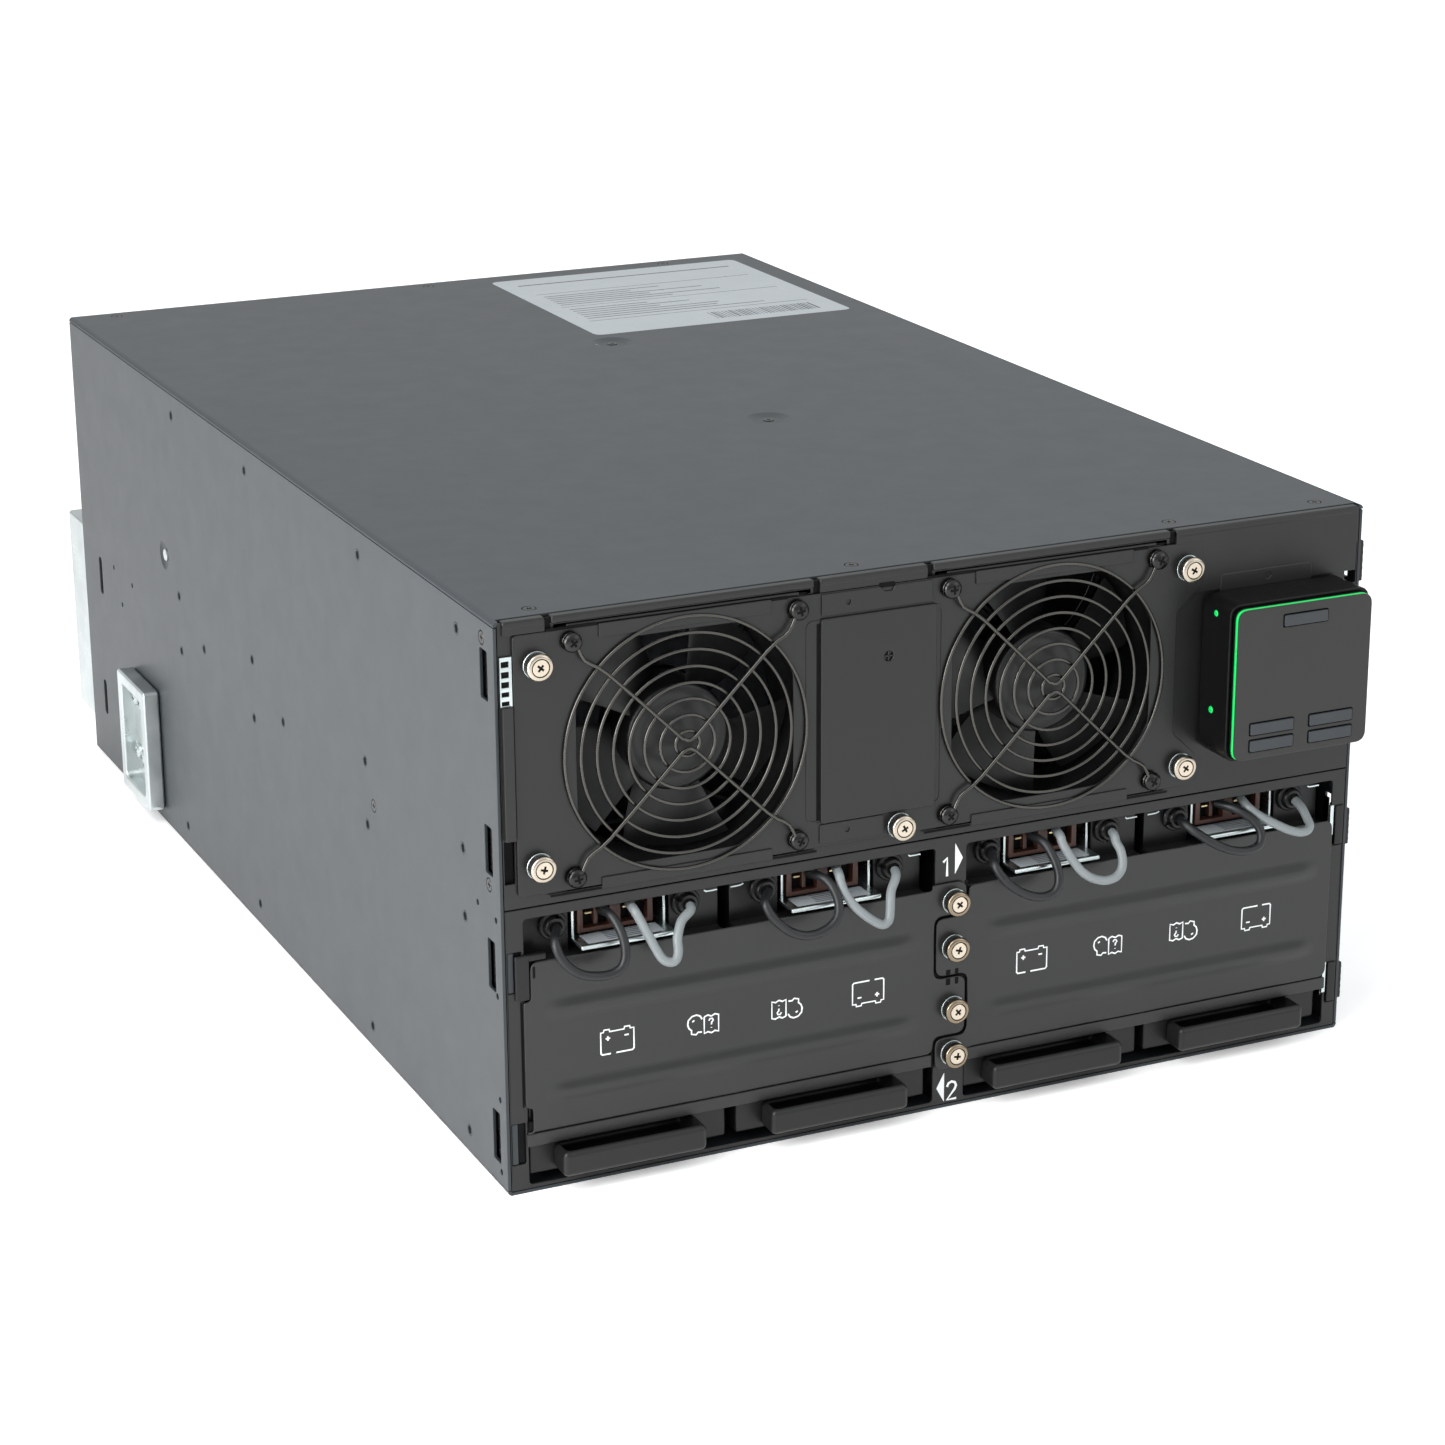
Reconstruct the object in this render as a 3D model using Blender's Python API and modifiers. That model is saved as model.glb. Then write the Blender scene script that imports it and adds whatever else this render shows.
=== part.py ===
"""Rack-mounted battery backup unit, six rack units high, shown with its front bezel off.

Units are metres. The origin is the centre of the case's bottom face, +X is to the right of
someone facing the unit, -Y is its front and +Z is up. "Depth" is measured behind the front
plane of the case, so a negative depth stands out in front of it.
"""

import math

import bmesh
import bpy
from mathutils import Matrix, Vector

# ---- driving dimensions -------------------------------------------------------------------
CASE_WIDTH = 0.432  # body of a 19-inch rack unit
CASE_HEIGHT = 0.263  # six rack units less the usual clearance
CASE_DEPTH = 0.675
FRONT = -CASE_DEPTH / 2
SHEET = 0.0015  # steel sheet of the case
GAP = 0.0003  # clearance between touching pieces
SIDE = CASE_WIDTH / 2
INSIDE = SIDE - SHEET - GAP  # half the width between the side walls, less a clearance
SEAM_HEIGHT = 0.1338  # between the battery frame and the upper front panel

# fan tray
FAN_SIZE = 0.1186
FAN_DEPTH = 0.038
FAN_BORE = 0.0565
FAN_CLIP = 0.0510  # half the width and height that the tray's openings are cut short to
FAN_SCREW = 0.0525  # from the fan's centre, each way: the usual 105 mm pattern
FAN_HEIGHT = 0.1979
FAN_X = {"left": -0.1290, "right": 0.0515}
TRAY_LEFT = -0.2081
TRAY_RIGHT = 0.1290
TRAY_BOTTOM = 0.1394
TRAY_TOP = 0.2564
PLATE = 0.0012  # tray plate and doors
PLATE_BACK = -GAP  # their back face, just in front of the front plane
PLATE_FRONT = PLATE_BACK - PLATE
TRAY_SCREWS = {
    "upper_left": (-0.1977, 0.2426),
    "lower_left": (-0.1982, 0.1525),
    "middle": (-0.0254, 0.1436),
    "upper_right": (0.1210, 0.2446),
    "lower_right": (0.1203, 0.1499),
}
GUARD_RINGS = (0.0057, 0.0129, 0.0202, 0.0273, 0.0346, 0.0421, 0.0496, 0.0571)
GUARD_WIRE = 0.0016

# upper front panel: the folded lips over the fan tray
TOP_LIPS = ((-0.1902, -0.0677), (-0.0650, -0.0124), (-0.0095, 0.1115))
LIP_PROUD = 0.0014
LIP_ROOT = 0.0007  # how far a joined piece sinks into the sheet behind it

# battery bay
BAYS = ((-0.2058, -0.0060), (0.0100, 0.2072))  # the two openings, left and right
BAY_BOTTOM = 0.0037
BAY_TOP = 0.1286
STILE_SLOTS = ((0.0141, 0.0337), (0.0953, 0.1141))
MODULE_X = {1: -0.1580, 2: -0.0572, 3: 0.0558, 4: 0.1558}
MODULE_SPANS = {
    1: (-0.2052, -0.1100),
    2: (-0.1052, -0.0092),
    3: (0.0106, 0.1038),
    4: (0.1078, 0.2038),
}
MODULE_BOTTOM = 0.0072
CELL_TOP = 0.1060
CAP_DEPTH = 0.0400
CELLS_DEPTH = 0.6000
GLAND_X = 0.0315  # from the module's centre
GLAND_Z = 0.1210
GLAND_RADIUS = 0.0060
EAR_FRONT = 0.0080  # depth of the face that carries the glands
SOCKET_HALF = 0.0223  # half the width of the tray that holds a plug
SOCKET_FLOOR = 0.1108
PLUG_HALF = 0.0182
PLUG_FRONT = 0.0090
LEAD_RADIUS = 0.0021
GLAND_END = (0.0315, 0.0018, 0.1210)  # where each lead meets its gland, left ones mirrored
DARK_START = (-0.0315, 0.0018, 0.1210)
DARK_END = (-0.0086, 0.0080, 0.1240)  # where it meets the plug
LIGHT_START = (0.0050, 0.0080, 0.1243)
# each route: across from the module's centre, depth, height
DARK_ROUTES = {
    1: (
        DARK_START,
        (-0.0363, -0.0075, 0.1202),
        (-0.0367, -0.0110, 0.1165),
        (-0.0345, -0.0125, 0.1116),
        (-0.0308, -0.0130, 0.1075),
        (-0.0256, -0.0130, 0.1041),
        (-0.0187, -0.0130, 0.1023),
        (-0.0126, -0.0130, 0.1022),
        (-0.0081, -0.0130, 0.1042),
        (-0.0059, -0.0125, 0.1080),
        (-0.0052, -0.0110, 0.1125),
        (-0.0053, -0.0090, 0.1164),
        (-0.0059, -0.0065, 0.1198),
        (-0.0069, -0.0035, 0.1229),
        (-0.0080, 0.0005, 0.1249),
        DARK_END,
    ),
    2: (
        DARK_START,
        (-0.0374, -0.0075, 0.1207),
        (-0.0373, -0.0110, 0.1174),
        (-0.0349, -0.0125, 0.1135),
        (-0.0303, -0.0130, 0.1089),
        (-0.0258, -0.0130, 0.1058),
        (-0.0204, -0.0130, 0.1038),
        (-0.0144, -0.0130, 0.1036),
        (-0.0090, -0.0130, 0.1054),
        (-0.0049, -0.0125, 0.1085),
        (-0.0029, -0.0110, 0.1122),
        (-0.0024, -0.0090, 0.1162),
        (-0.0030, -0.0065, 0.1199),
        (-0.0043, -0.0030, 0.1230),
        (-0.0061, 0.0010, 0.1245),
        DARK_END,
    ),
    3: (
        DARK_START,
        (-0.0356, -0.0070, 0.1199),
        (-0.0352, -0.0105, 0.1169),
        (-0.0328, -0.0125, 0.1130),
        (-0.0286, -0.0130, 0.1089),
        (-0.0232, -0.0130, 0.1052),
        (-0.0173, -0.0130, 0.1026),
        (-0.0118, -0.0130, 0.1018),
        (-0.0074, -0.0130, 0.1030),
        (-0.0049, -0.0125, 0.1060),
        (-0.0039, -0.0110, 0.1102),
        (-0.0041, -0.0090, 0.1144),
        (-0.0048, -0.0065, 0.1180),
        (-0.0057, -0.0035, 0.1213),
        (-0.0070, 0.0005, 0.1236),
        DARK_END,
    ),
    4: (
        DARK_START,
        (-0.0323, -0.0030, 0.1208),
        (-0.0306, -0.0070, 0.1189),
        (-0.0277, -0.0100, 0.1167),
        (-0.0240, -0.0120, 0.1140),
        (-0.0191, -0.0130, 0.1110),
        (-0.0138, -0.0135, 0.1086),
        (-0.0082, -0.0135, 0.1070),
        (-0.0024, -0.0130, 0.1064),
        (0.0024, -0.0125, 0.1077),
        (0.0046, -0.0115, 0.1107),
        (0.0047, -0.0100, 0.1143),
        (0.0034, -0.0080, 0.1173),
        (0.0012, -0.0055, 0.1200),
        (-0.0019, -0.0025, 0.1223),
        (-0.0049, 0.0015, 0.1235),
        DARK_END,
    ),
}
LIGHT_ROUTES = {
    1: (
        LIGHT_START,
        (0.0031, -0.0020, 0.1253),
        (0.0045, -0.0050, 0.1214),
        (0.0060, -0.0075, 0.1174),
        (0.0076, -0.0095, 0.1132),
        (0.0095, -0.0110, 0.1088),
        (0.0118, -0.0125, 0.1053),
        (0.0149, -0.0135, 0.1025),
        (0.0177, -0.0135, 0.1035),
        (0.0188, -0.0120, 0.1075),
        (0.0197, -0.0105, 0.1115),
        (0.0213, -0.0085, 0.1151),
        (0.0240, -0.0060, 0.1184),
        (0.0295, -0.0027, 0.1208),
        GLAND_END,
    ),
    2: (
        LIGHT_START,
        (0.0015, -0.0020, 0.1254),
        (0.0012, -0.0045, 0.1226),
        (0.0016, -0.0070, 0.1191),
        (0.0034, -0.0090, 0.1152),
        (0.0058, -0.0105, 0.1118),
        (0.0089, -0.0120, 0.1086),
        (0.0130, -0.0130, 0.1052),
        (0.0175, -0.0135, 0.1026),
        (0.0209, -0.0130, 0.1038),
        (0.0224, -0.0115, 0.1081),
        (0.0233, -0.0100, 0.1122),
        (0.0250, -0.0075, 0.1158),
        (0.0293, -0.0035, 0.1199),
        GLAND_END,
    ),
    3: (
        LIGHT_START,
        (0.0016, -0.0020, 0.1252),
        (0.0014, -0.0045, 0.1227),
        (0.0023, -0.0070, 0.1195),
        (0.0045, -0.0090, 0.1152),
        (0.0077, -0.0110, 0.1104),
        (0.0117, -0.0125, 0.1071),
        (0.0164, -0.0130, 0.1050),
        (0.0204, -0.0135, 0.1044),
        (0.0252, -0.0130, 0.1051),
        (0.0286, -0.0120, 0.1078),
        (0.0300, -0.0105, 0.1117),
        (0.0302, -0.0080, 0.1158),
        (0.0297, -0.0050, 0.1185),
        (0.0302, -0.0025, 0.1208),
        GLAND_END,
    ),
    4: (
        LIGHT_START,
        (0.0028, -0.0015, 0.1235),
        (0.0046, -0.0040, 0.1215),
        (0.0069, -0.0065, 0.1196),
        (0.0107, -0.0090, 0.1173),
        (0.0150, -0.0110, 0.1149),
        (0.0196, -0.0123, 0.1126),
        (0.0246, -0.0132, 0.1110),
        (0.0289, -0.0130, 0.1111),
        (0.0313, -0.0115, 0.1129),
        (0.0317, -0.0085, 0.1152),
        (0.0317, -0.0037, 0.1191),
        GLAND_END,
    ),
}

# doors
DOOR_BOTTOM = 0.0224
DOOR_TOP = 0.1089
DOOR_EDGE = 0.2071
EAR_RIGHT = 0.0094  # how far the left door's ears reach past the middle
EAR_LEFT = -0.0057  # and the right door's
SEAM = 0.0012  # width of the gap between the doors
DOOR_SCREW_X = 0.0030
DOOR_SCREWS = {
    "left": {"upper": 0.1025, "lower": 0.0499},
    "right": {"upper": 0.0802, "lower": 0.0278},
}
RIB_HEIGHTS = (0.0458, 0.0852)  # pressed ribs along each door
RIB_HALF = 0.0046
RIB_PROUD = 0.0008
SCREW_BORE = 0.0027
SHANK = 0.0020
THUMB_LENGTH = 0.0056  # from under the washer to the face of the head
THUMB_HEAD = 0.0060
THUMB_BARREL = 0.0054
THUMB_WASHER = 0.0008

# display
DISPLAY_X = 0.1672
DISPLAY_Z = 0.1939
DISPLAY_HALF = 0.0375
DISPLAY_FRONT = -0.0246  # front edge of the housing
FASCIA_INSET = 0.0016
RING_BACK = DISPLAY_FRONT - GAP
RING_FRONT = RING_BACK - 0.0032
FASCIA_BACK = RING_FRONT - GAP
FASCIA_FRONT = -0.0295
BUTTON_WIDTH = 0.0232
BUTTON_HEIGHT = 0.0054
BUTTON_PROUD = 0.0008
BUTTONS = {
    "power": (0.1672, 0.2224),
    "up": (0.1512, 0.1726),
    "down": (0.1512, 0.1646),
    "enter": (0.1831, 0.1726),
    "back": (0.1831, 0.1646),
}

# side slots: (height from, height to) at the front edge, and further back
FRONT_SLOTS = ((0.0122, 0.0362), (0.0937, 0.1167), (0.1470, 0.1690), (0.2260, 0.2480))
FRONT_SLOT_DEPTH = (0.0080, 0.0165)
HOOKS = ((0.0152, 0.0338), (0.0947, 0.1128), (0.2256, 0.2452))

# ---- scene set-up -------------------------------------------------------------------------
for old in list(bpy.data.objects):
    bpy.data.objects.remove(old, do_unlink=True)

PARTS = bpy.data.collections.new("rack_battery_unit")
CUTTERS = bpy.data.collections.new("cutters")
bpy.context.scene.collection.children.link(PARTS)
bpy.context.scene.collection.children.link(CUTTERS)


def material(name, colour, roughness, metallic=0.0):
    made = bpy.data.materials.new(name)
    made.use_nodes = True
    shader = made.node_tree.nodes["Principled BSDF"]
    shader.inputs["Base Color"].default_value = (*colour, 1.0)
    shader.inputs["Roughness"].default_value = roughness
    shader.inputs["Metallic"].default_value = metallic
    return made


CASE_PAINT = material("case_paint", (0.045, 0.050, 0.056), 0.50)
FRONT_PAINT = material("front_paint", (0.022, 0.023, 0.025), 0.50)
BLACK_PLASTIC = material("black_plastic", (0.018, 0.018, 0.020), 0.45)
DISPLAY_BLACK = material("display_black", (0.010, 0.010, 0.012), 0.35)
ZINC = material("zinc", (0.52, 0.57, 0.60), 0.35, 1.0)
NICKEL = material("nickel", (0.70, 0.65, 0.58), 0.30, 1.0)
GUARD_STEEL = material("guard_steel", (0.10, 0.10, 0.11), 0.30, 1.0)
GREEN_LIGHT = material("green_light", (0.05, 0.75, 0.20), 0.40)
BROWN_PLASTIC = material("brown_plastic", (0.16, 0.06, 0.04), 0.50)
DARK_SHEATH = material("dark_sheath", (0.035, 0.037, 0.042), 0.40)
LIGHT_SHEATH = material("light_sheath", (0.36, 0.41, 0.44), 0.40)
CELL_CASE = material("cell_case", (0.030, 0.031, 0.034), 0.60)
BUTTON_GREY = material("button_grey", (0.030, 0.036, 0.046), 0.45)
BOARD_GREEN = material("board_green", (0.02, 0.16, 0.08), 0.50)
BARE_ALUMINIUM = material("bare_aluminium", (0.60, 0.61, 0.63), 0.40, 1.0)


def assembly(name, location):
    """An empty that a moving group hangs from."""
    empty = bpy.data.objects.new(name, None)
    empty.empty_display_size = 0.05
    empty.location = location
    PARTS.objects.link(empty)
    bpy.context.view_layer.update()
    return empty


def finish(piece, paint, parent=None):
    """Put a made piece into the part, with its material and its parent."""
    if piece.type == "MESH":
        piece.data.materials.clear()
    piece.data.materials.append(paint)
    if parent is not None:
        bpy.context.view_layer.update()
        piece.parent = parent
        piece.matrix_parent_inverse = parent.matrix_world.inverted()
    return piece


def box(name, x, depth, z):
    """A box between two places along X, in depth and in height; its origin is its centre."""
    low = Vector((x[0], FRONT + depth[0], z[0]))
    high = Vector((x[1], FRONT + depth[1], z[1]))
    mesh = bpy.data.meshes.new(name)
    shape = bmesh.new()
    bmesh.ops.create_cube(shape, size=1.0, matrix=Matrix.Diagonal((*(high - low), 1.0)))
    shape.to_mesh(mesh)
    shape.free()
    made = bpy.data.objects.new(name, mesh)
    made.location = (low + high) / 2
    PARTS.objects.link(made)
    return made


def as_mesh(curve):
    """The mesh object that stands for an evaluated curve, with its caps welded on."""
    bpy.context.view_layer.update()
    evaluated = curve.evaluated_get(bpy.context.evaluated_depsgraph_get())
    mesh = bpy.data.meshes.new_from_object(evaluated)
    shape = bmesh.new()
    shape.from_mesh(mesh)
    bmesh.ops.remove_doubles(shape, verts=shape.verts, dist=0.00001)
    bmesh.ops.recalc_face_normals(shape, faces=shape.faces)
    shape.to_mesh(mesh)
    shape.free()
    name = curve.name
    made = bpy.data.objects.new(name, mesh)
    made.matrix_world = curve.matrix_world
    bpy.data.objects.remove(curve, do_unlink=True)
    made.name = name
    PARTS.objects.link(made)
    return made


def plate(name, outline, holes, depth, thickness):
    """A flat piece that faces the front; depth is that of its front face."""
    data = bpy.data.curves.new(name, "CURVE")
    data.dimensions = "2D"
    data.fill_mode = "BOTH"
    data.extrude = thickness / 2
    for loop in [outline, *holes]:
        spline = data.splines.new("POLY")
        spline.points.add(len(loop) - 1)
        for point, (x, z) in zip(spline.points, loop):
            point.co = (x, z, 0.0, 1.0)
        spline.use_cyclic_u = True
    made = bpy.data.objects.new(name, data)
    made.rotation_euler = (math.pi / 2, 0.0, 0.0)
    made.location = (0.0, FRONT + depth + thickness / 2, 0.0)
    PARTS.objects.link(made)
    return as_mesh(made)


def rectangle(x, z):
    return [(x[0], z[0]), (x[1], z[0]), (x[1], z[1]), (x[0], z[1])]


def circle(x, z, radius, count=16):
    turns = [2 * math.pi * (n + 0.5) / count for n in range(count)]
    return [(x + radius * math.cos(a), z + radius * math.sin(a)) for a in turns]


def rounded(corners, radius, steps=3):
    """A polygon whose corners are rounded off, each by a short curve between two tangents."""
    points = [Vector(c) for c in corners]
    out = []
    for n, corner in enumerate(points):
        before = points[n - 1] - corner
        after = points[(n + 1) % len(points)] - corner
        reach = min(radius, before.length * 0.45, after.length * 0.45)
        first = corner + before.normalized() * reach
        last = corner + after.normalized() * reach
        for k in range(steps + 1):
            t = k / steps
            out.append(first * (1 - t) ** 2 + corner * 2 * t * (1 - t) + last * t**2)
    return [(p.x, p.y) for p in out]


def turned(name, profile, x, depth, z, count=16):
    """A turned piece on an axis along Y. Profile heights run forward from its origin."""
    mesh = bpy.data.meshes.new(name)
    points = [(radius, 0.0, height) for radius, height in profile]
    mesh.from_pydata(points, [(n, n + 1) for n in range(len(points) - 1)], [])
    made = bpy.data.objects.new(name, mesh)
    made.location = (x, FRONT + depth, z)
    made.rotation_euler = (math.pi / 2, 0.0, 0.0)
    PARTS.objects.link(made)
    turn = made.modifiers.new("turn", "SCREW")
    turn.axis = "Z"
    turn.angle = 2 * math.pi
    turn.steps = count
    turn.render_steps = count
    turn.use_merge_vertices = True
    turn.merge_threshold = 0.00005
    return made


def disc_profile(radius, front, back):
    """The profile of a plain round bar between two heights, front first."""
    return [(0.0, front), (radius, front), (radius, back), (0.0, back)]


def combine(target, tools, operation):
    """Cut from, or join to, a piece; the tools stay as wire guides outside the part."""
    for tool in tools:
        step = target.modifiers.new(tool.name, "BOOLEAN")
        step.operation = operation
        step.solver = "EXACT"
        step.object = tool
        PARTS.objects.unlink(tool)
        CUTTERS.objects.link(tool)
        tool.hide_render = True
        tool.display_type = "WIRE"
    return target


def cut(target, *tools):
    return combine(target, tools, "DIFFERENCE")


def join(target, *tools):
    return combine(target, tools, "UNION")


def bevel(piece, width, segments=1):
    edge = piece.modifiers.new("edges", "BEVEL")
    edge.width = width
    edge.segments = segments
    edge.limit_method = "ANGLE"
    return piece


# ---- case ---------------------------------------------------------------------------------
def base_pan():
    """Bottom sheet and both side walls, with slots and hooks for the ears and the bezel."""
    pan = box("base_pan", (-SIDE, SIDE), (0.0, CASE_DEPTH), (0.0, CASE_HEIGHT))
    hollow = box(
        "base_pan_hollow",
        (-SIDE + SHEET, SIDE - SHEET),
        (-0.01, CASE_DEPTH + 0.01),
        (SHEET, CASE_HEIGHT + 0.01),
    )
    cut(pan, hollow)
    for n, (low, high) in enumerate(HOOKS):
        hook = box(f"hook_{n}", (SIDE - 0.0008, SIDE + 0.0018), (0.0002, 0.0075), (low, high))
        join(pan, hook)
    for n, (low, high) in enumerate(FRONT_SLOTS):
        cut(pan, box(f"front_slot_{n}", (-SIDE - 0.01, SIDE + 0.01), FRONT_SLOT_DEPTH, (low, high)))
    for n, (depth, low, high) in enumerate(((0.6360, 0.106, 0.128), (0.6430, 0.030, 0.051))):
        slot = box(f"rear_slot_{n}", (-SIDE - 0.01, SIDE + 0.01), (depth, depth + 0.006), (low, high))
        cut(pan, slot)
    return finish(pan, CASE_PAINT)


def top_cover():
    return finish(
        box("top_cover", (-INSIDE, INSIDE), (0.0, CASE_DEPTH), (CASE_HEIGHT - SHEET, CASE_HEIGHT)),
        CASE_PAINT,
    )


def front_panel_upper():
    """The sheet behind the fan tray and the display, open where the two fans pass through."""
    half = FAN_SIZE / 2 + 0.0006
    holes = []
    for x in FAN_X.values():
        holes.append(rectangle((x - half, x + half), (FAN_HEIGHT - half, FAN_HEIGHT + half)))
    for x, z in TRAY_SCREWS.values():
        holes.append(circle(x, z, SCREW_BORE, 12))
    left_gap = (-0.2136, TRAY_LEFT - 0.0006)
    holes.append(rectangle(left_gap, (0.1457, 0.1652)))
    holes.append(rectangle(left_gap, (0.2265, 0.2466)))
    holes.append(rectangle((0.2076, 0.2136), (0.2256, 0.2452)))
    top = CASE_HEIGHT - SHEET - GAP
    outline = rectangle((-INSIDE, INSIDE), (SEAM_HEIGHT + GAP, top))
    panel = plate("front_panel_upper", outline, holes, 0.0, SHEET)
    for n, x in enumerate(TOP_LIPS):
        join(panel, box(f"top_lip_{n}", x, (-LIP_PROUD, LIP_ROOT), (0.2590, top - 0.0004)))
    join(panel, box("left_bar", left_gap, (-0.0030, LIP_ROOT), (0.1660, 0.2258)))
    return finish(panel, FRONT_PAINT)


def battery_bay_frame():
    """Mid rail, bottom rail, outer stiles and the centre post around the two battery bays."""
    holes = [rectangle(bay, (BAY_BOTTOM, BAY_TOP)) for bay in BAYS]
    for low_high in STILE_SLOTS:
        holes.append(rectangle((-0.2136, BAYS[0][0] - 0.0012), low_high))
        holes.append(rectangle((BAYS[1][1] + 0.0012, 0.2136), low_high))
    for heights in DOOR_SCREWS.values():
        for z in heights.values():
            holes.append(circle(DOOR_SCREW_X, z, SCREW_BORE, 12))
    outline = rectangle((-INSIDE, INSIDE), (SHEET + GAP, SEAM_HEIGHT))
    return finish(plate("battery_bay_frame", outline, holes, 0.0, SHEET), FRONT_PAINT)


def bay_shelf():
    """The shelf over the batteries, and the wall that parts the two bays."""
    shelf = box("bay_shelf", (-INSIDE, INSIDE), (0.0018, CASE_DEPTH - 0.0018), (0.1290, 0.1305))
    wall = box("bay_wall", (-0.00075, 0.00075), (0.0100, CASE_DEPTH - 0.0100), (0.0018, 0.1297))
    return finish(join(shelf, wall), ZINC)


def rear_panel():
    """The back sheet, with a raised outlet plate and slots that let the fans' air out."""
    top = CASE_HEIGHT - SHEET - GAP
    panel = box("rear_panel", (-INSIDE, INSIDE), (CASE_DEPTH - SHEET, CASE_DEPTH), (0.0018, top))
    outlets = box(
        "outlet_plate",
        (-0.0500, 0.2050),
        (CASE_DEPTH - 0.0008, CASE_DEPTH + 0.0022),
        (0.0240, 0.1180),
    )
    join(panel, outlets)
    for n in range(10):
        left = -0.1900 + n * 0.0370
        vent = box(
            f"rear_vent_{n}",
            (left, left + 0.0250),
            (CASE_DEPTH - 0.01, CASE_DEPTH + 0.01),
            (0.1500, 0.2480),
        )
        cut(panel, vent)
    return finish(panel, CASE_PAINT)


def terminal_cover():
    """The bright box over the mains terminals at the back, open towards the rear panel."""
    x = (-0.2150, -0.0700)
    depth = (CASE_DEPTH + GAP, CASE_DEPTH + 0.0350)
    z = (0.0190, 0.1390)
    cover = box("terminal_cover", x, depth, z)
    wall = 0.0015
    hollow = box(
        "terminal_hollow",
        (x[0] + wall, x[1] - wall),
        (depth[0] - 0.01, depth[1] - wall),
        (z[0] + wall, z[1] - wall),
    )
    return finish(cut(cover, hollow), ZINC)


def rear_bracket(side, sign):
    """The dished bracket that a rack's rear support holds."""
    inner = sign * (SIDE + GAP)
    outer = sign * (SIDE + 0.0100)
    x = sorted((inner, outer))
    bracket = box(f"rear_bracket_{side}", x, (0.5260, 0.5800), (0.0080, 0.0790))
    bevel(bracket, 0.0030)
    dish_x = sorted((sign * (SIDE + 0.0025), sign * (SIDE + 0.0200)))
    dish = box(f"rear_bracket_dish_{side}", dish_x, (0.5330, 0.5730), (0.0160, 0.0710))
    return finish(cut(bracket, dish), ZINC)


def main_board():
    board = box("main_board", (-0.2000, 0.2000), (0.0700, 0.6500), (0.1380, 0.1396))
    return finish(board, BOARD_GREEN)


def heat_sink():
    """A finned block over the power board, in the fans' air."""
    sink = box("heat_sink", (-0.1500, 0.1000), (0.1200, 0.4200), (0.1400, 0.1480))
    for n in range(7):
        x = -0.1480 + n * 0.0405
        fin = box(f"fin_{n}", (x, x + 0.0030), (0.1210, 0.4190), (0.1470, 0.2000))
        join(sink, fin)
    return finish(sink, BARE_ALUMINIUM)


def connector_bracket(side, modules):
    """Two open trays that hold the modules' plugs, hung from one flange under the shelf."""
    centres = [MODULE_X[n] for n in modules]
    name = f"connector_bracket_{side}"
    left = min(centres) - SOCKET_HALF - 0.0010
    right = max(centres) + SOCKET_HALF + 0.0010
    flange = box(name, (left, right), (0.0094, CAP_DEPTH), (0.1273, 0.1287))
    for n, centre in zip(modules, centres):
        x = (centre - SOCKET_HALF, centre + SOCKET_HALF)
        tray = box(f"tray_{n}", x, (-0.0034, CAP_DEPTH), (SOCKET_FLOOR, 0.1280))
        inner = (x[0] + SHEET, x[1] - SHEET)
        join(flange, tray)
        floor_top = SOCKET_FLOOR + 0.0022
        cut(flange, box(f"tray_room_{n}", inner, (-0.02, CAP_DEPTH + 0.01), (floor_top, 0.1268)))
        wide = (x[0] - 0.001, x[1] + 0.001)
        cut(flange, box(f"tray_front_{n}", wide, (-0.02, EAR_FRONT + 0.0002), (floor_top, 0.1300)))
    return finish(flange, ZINC)


# ---- fan tray -----------------------------------------------------------------------------
def fan_opening(x):
    """A circle cut short above, below and at both sides."""
    out = []
    for a, z in circle(0.0, 0.0, FAN_BORE, 32):
        out.append((x + max(-FAN_CLIP, min(FAN_CLIP, a)), FAN_HEIGHT + max(-FAN_CLIP, min(FAN_CLIP, z))))
    return out


def fan_tray(parent):
    """The plate that carries both fans, stepped in beside the display."""
    corners = [
        (TRAY_LEFT, TRAY_BOTTOM),
        (TRAY_RIGHT, TRAY_BOTTOM),
        (TRAY_RIGHT, 0.1537),
        (0.1161, 0.1660),
        (0.1161, 0.2245),
        (TRAY_RIGHT, 0.2350),
        (TRAY_RIGHT, TRAY_TOP),
        (TRAY_LEFT, TRAY_TOP),
    ]
    holes = [fan_opening(x) for x in FAN_X.values()]
    holes += [circle(x, z, SCREW_BORE, 12) for x, z in TRAY_SCREWS.values()]
    tray = plate("fan_tray", rounded(corners, 0.004, 2), holes, PLATE_FRONT, PLATE)
    cover = box(
        "tray_cover",
        (-0.0650, -0.0080),
        (PLATE_FRONT - 0.0015, PLATE_FRONT + 0.0006),
        (0.1530, 0.2450),
    )
    return finish(join(tray, cover), FRONT_PAINT, parent)


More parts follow.
